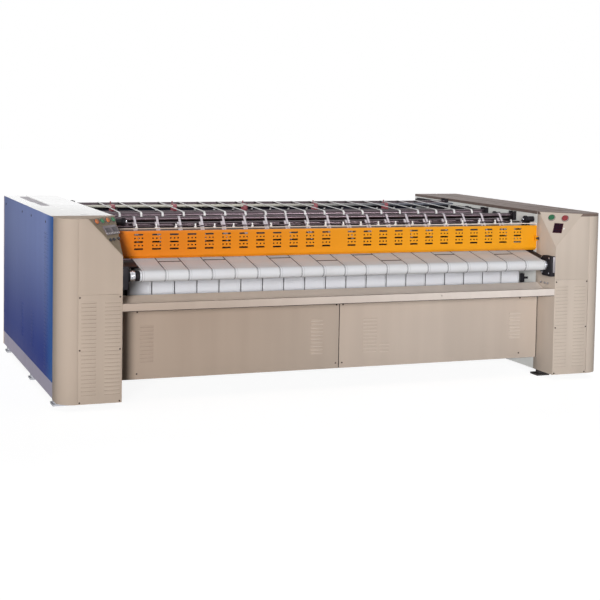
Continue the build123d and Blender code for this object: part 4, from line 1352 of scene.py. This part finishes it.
# ---------------------------------------------------------------- roller ends and wheels
@dataclass(frozen=True)
class RollerEnds:
    """Collars, hubs, bearing plates, tape wheels, guides and clamps at the rollers."""

    feed_at: Pair = (-1.180, 0.888)
    feed_body: str = "feed_roller_body"
    hub_bolts: tuple[float, ...] = (0.5, 2.6, 4.7)
    hub_bolt_ring: float = 0.022
    bracket_bolts: tuple[Pair, ...] = ((-1.240, 0.830), (-1.240, 0.945), (-1.125, 0.945), (-1.140, 0.830))
    stop_at: Pair = (-0.853, 0.750)
    stop_parts: tuple[tuple[float, ...], ...] = (
        (1.624, 1.650, 0.015, 0.035, 0.003),
        (1.648, INNER_WALL - HAIR, 0.009, 0.008, 0.001),
    )
    tape_rollers: tuple[str, ...] = ("nip_tape_roller", "front_tape_roller", "middle_tape_roller", "rear_tape_roller")
    wheel_ends: Pair = (1.636, 1.651)
    teeth: int = 16
    idlers: tuple[tuple[int, float, float, float, float], ...] = (
        (-1, -0.834, 1.231, 0.110, 0.034),
        (1, -0.834, 1.190, 0.046, 0.034),
        (1, -0.918, 1.224, 0.085, 0.031),
        (1, -0.370, 1.222, 0.060, 0.028),
        (1, 0.140, 1.221, 0.050, 0.038),
    )
    idler_width: float = 0.022
    guide_at: Pair = (-0.700, 1.186)
    guide_pitch: float = 0.146
    bar_at: Pair = (-0.562, 1.184)
    rails: tuple[tuple[float, ...], ...] = ((-0.085, 0.480, 1.197, 1.241), (0.728, 1.208, 1.180, 1.258))
    link_pitch: float = 0.0254
    disc_at: Pair = (-0.834, 1.190)
    clamp_shares: tuple[float, ...] = (1.02, 4.08, 7.72, 11.5, 15.45)

    def toothed(self, name: str, start: float, end: float, at: Pair, radius: float, teeth: int) -> Piece:
        """A toothed wheel on an axis along X.

        Args:
            name: the piece's name.
            start: X of one face.
            end: X of the other face.
            at: its axis.
            radius: to the tips of the teeth.
            teeth: how many.

        Returns:
            The wheel.
        """
        (y, z), step = at, math.pi / teeth
        wheel = axle(name, start, end, at, radius * 0.88, 0, teeth * 2)
        work(
            wheel,
            Element.FACE,
            lambda at, way: abs(way.x) < 0.1 and math.floor(math.atan2(at.z - z, at.y - y) / step) % 2 == 0,
            lambda: bpy.ops.mesh.extrude_faces_move(TRANSFORM_OT_shrink_fatten={"value": -radius * 0.12}),
        )
        hub = axle(name + "_hub", start - 0.004, end + 0.004, at, radius * 0.42, 0.0015, 24)
        return gather(name, [soften(wheel, 0.0006, 1, 40), hub])

    def feed_ends(self) -> None:
        """Notched collar, bright hub and bolts of the feed roller."""
        at, body, ring = self.feed_at, self.feed_body, self.hub_bolt_ring
        collar = self.toothed("feed_collar", -1.578, -1.5525, at, 0.0405, 14)
        outer = axle("feed_flange", -1.636, -1.620, at, 0.040, 0.002)
        group("feed_collars", [collar, outer], IRON, body=body)
        bright = [
            axle("feed_hub", -1.620, -1.582, at, 0.032, 0.004),
            axle("feed_ring", -1.606, -1.598, at, 0.0375, 0.001),
            axle("feed_sleeve", 1.632, 1.6445, at, 0.033, 0.003),
        ]
        for a in self.hub_bolts:
            place = (at[0] + ring * math.cos(a), at[1] + ring * math.sin(a))
            bright.append(axle("feed_bolt", -1.620, -1.6405, place, 0.005, 0.0008, 6))
        group("feed_hubs", bright, CHROME, body=body)

    def brackets(self) -> None:
        """Bearing brackets of the feed roller with a bright plate and bolts, and stops beside the belts."""
        low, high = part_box("feed_roller_brackets")
        wall, inner = INNER_WALL - HAIR, INNER_WALL - 0.040
        blocks, bright = [], []
        for side in (-1, 1):
            a, b = span(side, inner, wall)
            body = block("bracket", (a, low.y, low.z), (b, high.y, high.z))
            work(body, Element.EDGE, lambda at, way: abs(way.x) > FACING and at.y > high.y - NEAR, chamfer(0.041, 1))
            blocks.append(soften(body, 0.003))
            ends = (side * inner, side * (inner - 0.0025))
            bright.append(axle("bearing_ring", *ends, self.feed_at, 0.036, 0.001))
            bright += [axle("bracket_bolt", *ends, at, 0.0085, 0.001, 6) for at in self.bracket_bolts]
        corner = (wall, low.y + HAIR, high.z - 0.006)
        dress(block("bracket_edge", (1.664, low.y - 0.0028, low.z + 0.030), corner, 0.001), ZINC)
        group("roller_brackets", blocks, IRON, "feed_roller_brackets")
        (y, z), stops = self.stop_at, []
        for side in (-1, 1):
            for near, far, deep, tall, edge in self.stop_parts:
                a, b = span(side, near, far)
                stops.append(block("belt_stop", (a, y - deep, z - tall), (b, y + deep, z + tall), edge))
        group("belt_stops", stops, IRON)
        group("bracket_trim", bright, CHROME)

    def wheels(self) -> None:
        """Toothed wheels of the tape drive at the ends of the tape rollers, and idlers on the walls."""
        for node in self.tape_rollers:
            at, radius = axis_of(node)
            pair = [
                self.toothed("tape_wheel", *span(side, *self.wheel_ends), at, radius + 0.005, self.teeth)
                for side in (1, -1)
            ]
            group(node.replace("roller", "wheels"), pair, IRON, body=node + "_body")
        idlers, nuts = [], []
        for side, y, z, reach, radius in self.idlers:
            face = INNER_WALL - reach
            back = face + self.idler_width
            idlers.append(self.toothed("idler", *span(side, face, back), (y, z), radius, self.teeth))
            hub = span(side, back, INNER_WALL - 0.0005)
            idlers.append(axle("idler_hub", *hub, (y, z), radius * 0.7, 0.003))
            nut = (side * (face - 0.004), side * (face - 0.014))
            nuts.append(axle("idler_nuts", *nut, (y, z), 0.009, 0.001, 6))
        group("tape_wheel_idlers", idlers, IRON)
        group("idler_nuts", nuts, CHROME)

    def guides(self) -> None:
        """Thin rod and spreader bar in front of the front tapes, with a row of small white guides."""
        y, z = self.guide_at
        rod = axle("guide_rod", -INNER_WALL, INNER_WALL, self.guide_at, 0.005, 0, 16)
        bar = axle("spreader_bar", -INNER_WALL, INNER_WALL, self.bar_at, 0.020)
        group("guide_rods", [rod, bar], ROLLER)
        count = int(2 * INNER_WALL / self.guide_pitch)
        eye = [
            block("guide_eyes", (-0.0045, y - 0.008, z - 0.010), (0.0045, y + 0.006, z + 0.017), 0.0015),
            block("guide_foot", (-0.009, y - 0.007, z - 0.012), (0.009, y + 0.007, z - 0.003), 0.0015),
        ]
        places = [((number - (count - 1) / 2) * self.guide_pitch, 0, 0) for number in range(count)]
        dress(scatter("guide_eyes", gather("guide_eyes", eye), places), WHITE)

    def chain_case(self) -> None:
        """Black chain guides along the right wall, toothed along their top, and the discs of two idlers."""
        low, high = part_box("tape_chain_case")
        rails = []
        for y0, y1, z0, z1 in self.rails:
            rails.append(block("chain_rail", (1.6555, y0, z0), (1.6845, y1, z1 - 0.008), 0.002))
            link = block("chain_link", (1.657, y0 + 0.004, z1 - 0.0085), (1.683, y0 + 0.020, z1), 0.002)
            rails.append(row(link, int((y1 - y0) / self.link_pitch), (0, self.link_pitch, 0)))
        for side in (-1, 1):
            rails.append(axle("idler_disc", *span(side, 1.6552, 1.6845), self.disc_at, 0.0335, 0.002))
        group("chain_guides", rails, IRON, "tape_chain_case")
        log.info("chain guides span %.3f to %.3f", low.y, high.y)

    def clamps(self) -> None:
        """The crossbar, a folded channel, and red clamps on it, each with a thumb screw."""
        low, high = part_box("tape_crossbar")
        start, end, top = low.y - 0.0033, high.y + 0.0033, high.z
        foot, ridge, middle = top - 0.050, top + 0.003, (start + end) / 2
        hook = ((start, foot), (start, ridge), (end, ridge), (end, foot))
        clamp = sheet_along("bar_clamps", hook, -0.017, 0.017, 0.006)
        x, z = -0.0135, top - 0.034
        pieces = [
            soften(clamp, 0.0015),
            drum("clamp_stud", (x, middle, top), (x, middle, TOP - 0.008), 0.003, 0, 12),
            drum("clamp_knob", (x, middle, TOP - 0.014), (x, middle, TOP - 0.003), 0.006, 0.0015, 12),
            drum("clamp_bolt", (0, start, z), (0, start - 0.014, z), 0.008, 0.0015, 6),
        ]
        clamp = gather("bar_clamps", pieces)
        front, back, roof = low.y + 0.0015, high.y - 0.0015, top - 0.0015
        channel = ((front, top - 0.012), (front, roof), (back, roof), (back, low.z + 0.001))
        bar = sheet_along("folded_bar", channel, low.x, high.x, 0.003)
        dress(soften(bar, 0.001), BAR, "tape_crossbar")
        places = [(BELT_LEFT + share * BELT_PITCH, 0, 0) for share in self.clamp_shares]
        dress(scatter("bar_clamps", clamp, places), CLAMP_RED, "tape_clamps")

    def build(self) -> None:
        """Makes the roller ends, wheels, guides and clamps."""
        self.feed_ends()
        self.brackets()
        self.wheels()
        self.guides()
        self.chain_case()
        self.clamps()


# ---------------------------------------------------------------- controls
@dataclass(frozen=True)
class Controls:
    """Buttons, knobs and displays on the sloping corner panels."""

    origin: Point = (INNER_WALL, FRONT, 1.032)
    normal: Point = (0.613664, -0.545479, 0.570850)
    across: Point = (0.240, 0.270, 0.0)
    plate: float = 0.0025
    left_row: float = 0.283
    left_xs: tuple[float, ...] = (-0.084, -0.010, 0.064, 0.138)
    left_radius: float = 0.017
    right_row: float = 0.261
    right_xs: tuple[float, ...] = (-0.086, 0.022)
    right_radius: float = 0.024
    collar: float = 0.0022
    collar_gap: float = 0.0032
    knob_row: float = 0.135
    knob_xs: tuple[float, ...] = (-0.046, 0.002, 0.066)
    bezel: tuple[Point, Point] = ((-0.046, 0.172, 0.0026), (0.126, 0.244, 0.0085))
    window_xs: Pair = (-0.003, 0.083)
    window: tuple[float, float, float] = (0.031, 0.191, 0.225)
    keys: tuple[float, float, int] = (-0.036, 0.0215, 8)
    key_y: float = 0.181
    meter: tuple[Point, Point] = ((-0.053, 0.1265, 0.0026), (0.019, 0.2135, 0.0060))
    cell: tuple[float, float, float, float] = (-0.047, 0.133, 0.018, 0.022)
    cell_pitch: Pair = (0.0205, 0.0255)
    lamp: tuple[Point, Point] = ((0.031, 0.167, 0.0024), (0.031, 0.167, 0.0068))

    def panel(self, side: int, x: float = 0, y: float = 0) -> Matrix:
        """The matrix from a place on a corner panel's own plane to the machine.

        Args:
            side: -1 for the left panel, 1 for the right one.
            x: the place, to the viewer's right.
            y: the place, up the slope.

        Returns:
            The matrix; z runs outwards.
        """
        normal, across = Vector(self.normal), Vector(self.across).normalized()
        if side > 0:
            normal.x, across.y = -normal.x, -across.y
        turn = Matrix((across, normal.cross(across), normal)).transposed().to_4x4()
        at = Vector(self.origin)
        at.x *= side
        return Matrix.Translation(at) @ turn @ Matrix.Translation((x, y, 0))

    def button(self, node: str, side: int, x: float, finish: Finish) -> None:
        """A push button: its domed head on a neck, and a collar on the panel.

        Args:
            node: the button's node.
            side: -1 for the left panel, 1 for the right one.
            x: its place along the row.
            finish: its finish.
        """
        y, radius = (self.right_row, self.right_radius) if side > 0 else (self.left_row, self.left_radius)
        head = drum(node + "_head", (0, 0, 0.0059), (0, 0, 0.0138), radius, 0.0022, 36)
        rim = partial(bpy.ops.mesh.inset, thickness=radius * 0.3)
        work(head, Element.FACE, lambda at, way: way.z > FACING, rim, shift(0, 0, -0.0012))
        neck = block(node + "_neck", (-0.0058, -0.0058, -0.015), (0.0058, 0.0058, 0.007))
        where = self.panel(side, x, y)
        button = moved(gather(node + "_head", [head, neck]), where)
        dress(button, finish, node, body=node + "_body")
        rest()
        bpy.ops.mesh.primitive_torus_add(
            major_radius=radius + self.collar_gap, minor_radius=self.collar, major_segments=36, minor_segments=10
        )
        collar = settle(node + "_collar")
        dress(moved(collar, where @ Matrix.Translation((0, 0, self.plate + 0.0010))), CASE)

    def knob(self, node: str, x: float) -> None:
        """A black knob with a grip bar and a pale pointer.

        Args:
            node: the knob's node.
            x: its place along the row.
        """
        skirt = drum(node + "_cap", (0, 0, 0.0028), (0, 0, 0.0118), 0.0108, 0.0012, 32)
        grip = block(node + "_grip", (-0.0028, -0.0080, 0.010), (0.0028, 0.0080, 0.0167), 0.0008)
        line = block(node + "_line", (-0.0006, 0.001, 0.0165), (0.0006, 0.0078, 0.0169))
        where = self.panel(-1, x, self.knob_row)
        cap = moved(gather(node + "_cap", [skirt, grip]), where)
        dress(cap, BLACK, node, body=node + "_body")
        dress(moved(line, where), WHITE, body=node + "_body")

    def displays(self) -> None:
        """The instrument display with two windows, and the dark meter on the right."""
        (half, low, high), rim = self.window, 0.0005
        bezel = block("display_bezel", *self.bezel, 0.002)
        tools = [block("window_cut", (x - half, low, 0.0062), (x + half, high, 0.012)) for x in self.window_xs]
        carve(bezel, gather("window_cut", tools))
        panes = []
        for x in self.window_xs:
            pane = ((x - half + rim, low + rim, 0.0060), (x + half - rim, high - rim, 0.0074))
            panes.append(block("display_panes", *pane, 0.0004))
        first, pitch, count = self.keys
        keys = []
        for x in (first + i * pitch for i in range(count)):
            keys.append(drum("display_keys", (x, self.key_y, 0.0080), (x, self.key_y, 0.0092), 0.0032, 0.0004, 14))
        meter = block("meter_case", *self.meter, 0.001)
        left, bottom, width, height = self.cell
        cells = []
        for i in range(9):
            x, y = left + i // 3 * self.cell_pitch[0], bottom + i % 3 * self.cell_pitch[1]
            cells.append(block("meter_cells", (x, y, 0.0058), (x + width, y + height, 0.0074), 0.0006))
        lamp = drum("meter_lamp", *self.lamp, 0.006, 0.001, 20)
        for side, piece, finish, *nodes in (
            (-1, bezel, CASE, "instrument_display"),
            (-1, gather("display_panes", panes), SCREEN),
            (-1, gather("display_keys", keys), WHITE),
            (1, meter, MAROON, "meter_display"),
            (1, gather("meter_cells", cells), CELL),
            (1, lamp, WHITE),
        ):
            dress(moved(piece, self.panel(side)), finish, *nodes)

    def build(self) -> None:
        """Makes the controls of both sides."""
        left = (("feed_button", AMBER), ("start_button", GREEN), ("raise_button", AMBER), ("reverse_button", GREEN))
        right = (("run_button", DARK_GREEN), ("stop_button", DARK_RED))
        for side, xs, buttons in ((-1, self.left_xs, left), (1, self.right_xs, right)):
            for x, (node, finish) in zip(xs, buttons):
                self.button(node, side, x, finish)
        for x, node in zip(self.knob_xs, ("speed_knob", "pressure_knob", "mode_knob")):
            self.knob(node, x)
        self.displays()


# ---------------------------------------------------------------- studio
@dataclass(frozen=True)
class Studio:
    """Floor, soft lamps, white surroundings and the camera."""

    camera_at: Point = (-3.70754, -10.08036, 2.00482)
    yaw: float = 0.3896
    pitch: float = 0.0641
    roll: float = 0.0201
    focal: float = 1331.20
    centre: Pair = (343.39, 201.88)
    image: int = 600
    sensor: float = 36
    key: tuple[Point, float, float] = ((0.42, 0.89, -0.13), 3.1, 0.26)
    back: tuple[Point, float, float] = ((-0.38, -0.78, -0.46), 1.5, 0.5)
    strip: tuple[Point, float, float] = ((-0.36, 0.85, -0.38), 0.9, 0.1)
    top_at: Point = (-1.0, 0.0, 6.0)
    top_size: float = 6.0
    top_power: float = 50
    sky: float = 0.07
    sky_colour: tuple[float, ...] = (0.90, 0.94, 1.0, 1)
    floor_size: float = 120
    floor_glow: float = 1.3
    floor_share: float = 0.7
    floor_tones: Pair = (0.40, 0.93)

    def camera(self) -> None:
        """The camera, turned and shifted as the photograph's."""
        level = Vector((math.cos(self.yaw), -math.sin(self.yaw), 0))
        ahead = Vector((math.sin(self.yaw), math.cos(self.yaw), 0))
        forward = ahead * math.cos(self.pitch) - Vector((0, 0, math.sin(self.pitch)))
        right = level * math.cos(self.roll) + level.cross(forward) * math.sin(self.roll)
        rest()
        bpy.ops.object.camera_add(location=self.camera_at)
        camera = bpy.context.active_object
        camera.rotation_euler = Matrix((right, right.cross(forward), -forward)).transposed().to_euler()
        lens = camera.data
        lens.sensor_width = self.sensor
        lens.lens = self.focal / self.image * self.sensor
        lens.shift_x = (self.image / 2 - self.centre[0]) / self.image
        lens.shift_y = (self.centre[1] - self.image / 2) / self.image
        lens.clip_end = 200
        bpy.context.scene.camera = camera

    def sun(self, way: Point, power: float, angle: float) -> Piece:
        """A broad far lamp.

        Args:
            way: the way its light runs.
            power: its strength.
            angle: how wide it looks, which softens its shadows.

        Returns:
            The lamp.
        """
        rest()
        bpy.ops.object.light_add(type="SUN", location=Vector(way) * -8)
        lamp = bpy.context.active_object
        lamp.data.energy, lamp.data.angle = power, angle
        lamp.rotation_euler = Vector(way).to_track_quat("-Z", "Y").to_euler()
        return lamp

    def lights(self) -> None:
        """A broad lamp left of the camera, softer ones behind and overhead, and a strip for the gloss."""
        self.sun(*self.key)
        self.sun(*self.back).visible_glossy = False
        self.sun(*self.strip).visible_diffuse = False
        rest()
        bpy.ops.object.light_add(type="AREA", location=self.top_at)
        top = bpy.context.active_object.data
        top.size, top.energy = self.top_size, self.top_power

    def surroundings(self) -> None:
        """A white room: seen white by the camera and in reflections, softer as light."""
        world = bpy.data.worlds.new("studio")
        tree = Tree(world)
        soft = tree.wire("ShaderNodeBackground", None, {0: self.sky_colour, 1: self.sky})
        white = tree.wire("ShaderNodeBackground", None, {0: (1, 1, 1, 1), 1: 1.0})
        tree.node("ShaderNodeOutputWorld", None, {0: tree.blend(tree.seen(), soft, white)})
        bpy.context.scene.world = world

    def floor(self) -> None:
        """A pale floor that keeps a soft shadow."""
        rest()
        bpy.ops.mesh.primitive_plane_add(size=self.floor_size)
        floor = settle("studio_floor")
        material = bpy.data.materials.new("studio_floor")
        tree = Tree(material)
        seen = tree.seen()
        dark, pale = ((tone, tone, tone, 1) for tone in self.floor_tones)
        matt = tree.wire("ShaderNodeBsdfDiffuse", None, {"Color": tree.mix(seen, dark, pale)})
        glow = tree.wire("ShaderNodeEmission", None, {"Color": (1, 1, 1, 1), "Strength": self.floor_glow})
        tree.node("ShaderNodeOutputMaterial", None, {0: tree.blend(seen * self.floor_share, matt, glow)})
        floor.data.materials.append(material)

    def build(self) -> None:
        """Sets up the studio."""
        self.camera()
        self.lights()
        self.surroundings()
        self.floor()
        bpy.context.scene.view_settings.view_transform = "Standard"


def dress_nodes() -> None:
    """Gives every node of the model the finish of its slot."""
    for part in frame["record"]["subparts"]:
        node = part["node"]
        finish = NODE_SPECIAL.get(node) or NODE_FINISH[part["material_slot"]]
        mesh = frame["nodes"][node].data
        mesh.materials.clear()
        mesh.materials.append(finish.material())
        log.info("%s: %s", node, finish.name)


def main() -> None:
    """Builds the sub-assemblies in order."""
    logging.basicConfig(level=logging.INFO, format="%(message)s")
    dress_nodes()
    for assembly in (Studio(), Cabinets(), LowerPanels(), Belts(), FingerGuard(), RollerEnds(), Controls()):
        assembly.build()
        log.info("%s is done", type(assembly).__name__)


if __name__ == "__main__":
    main()
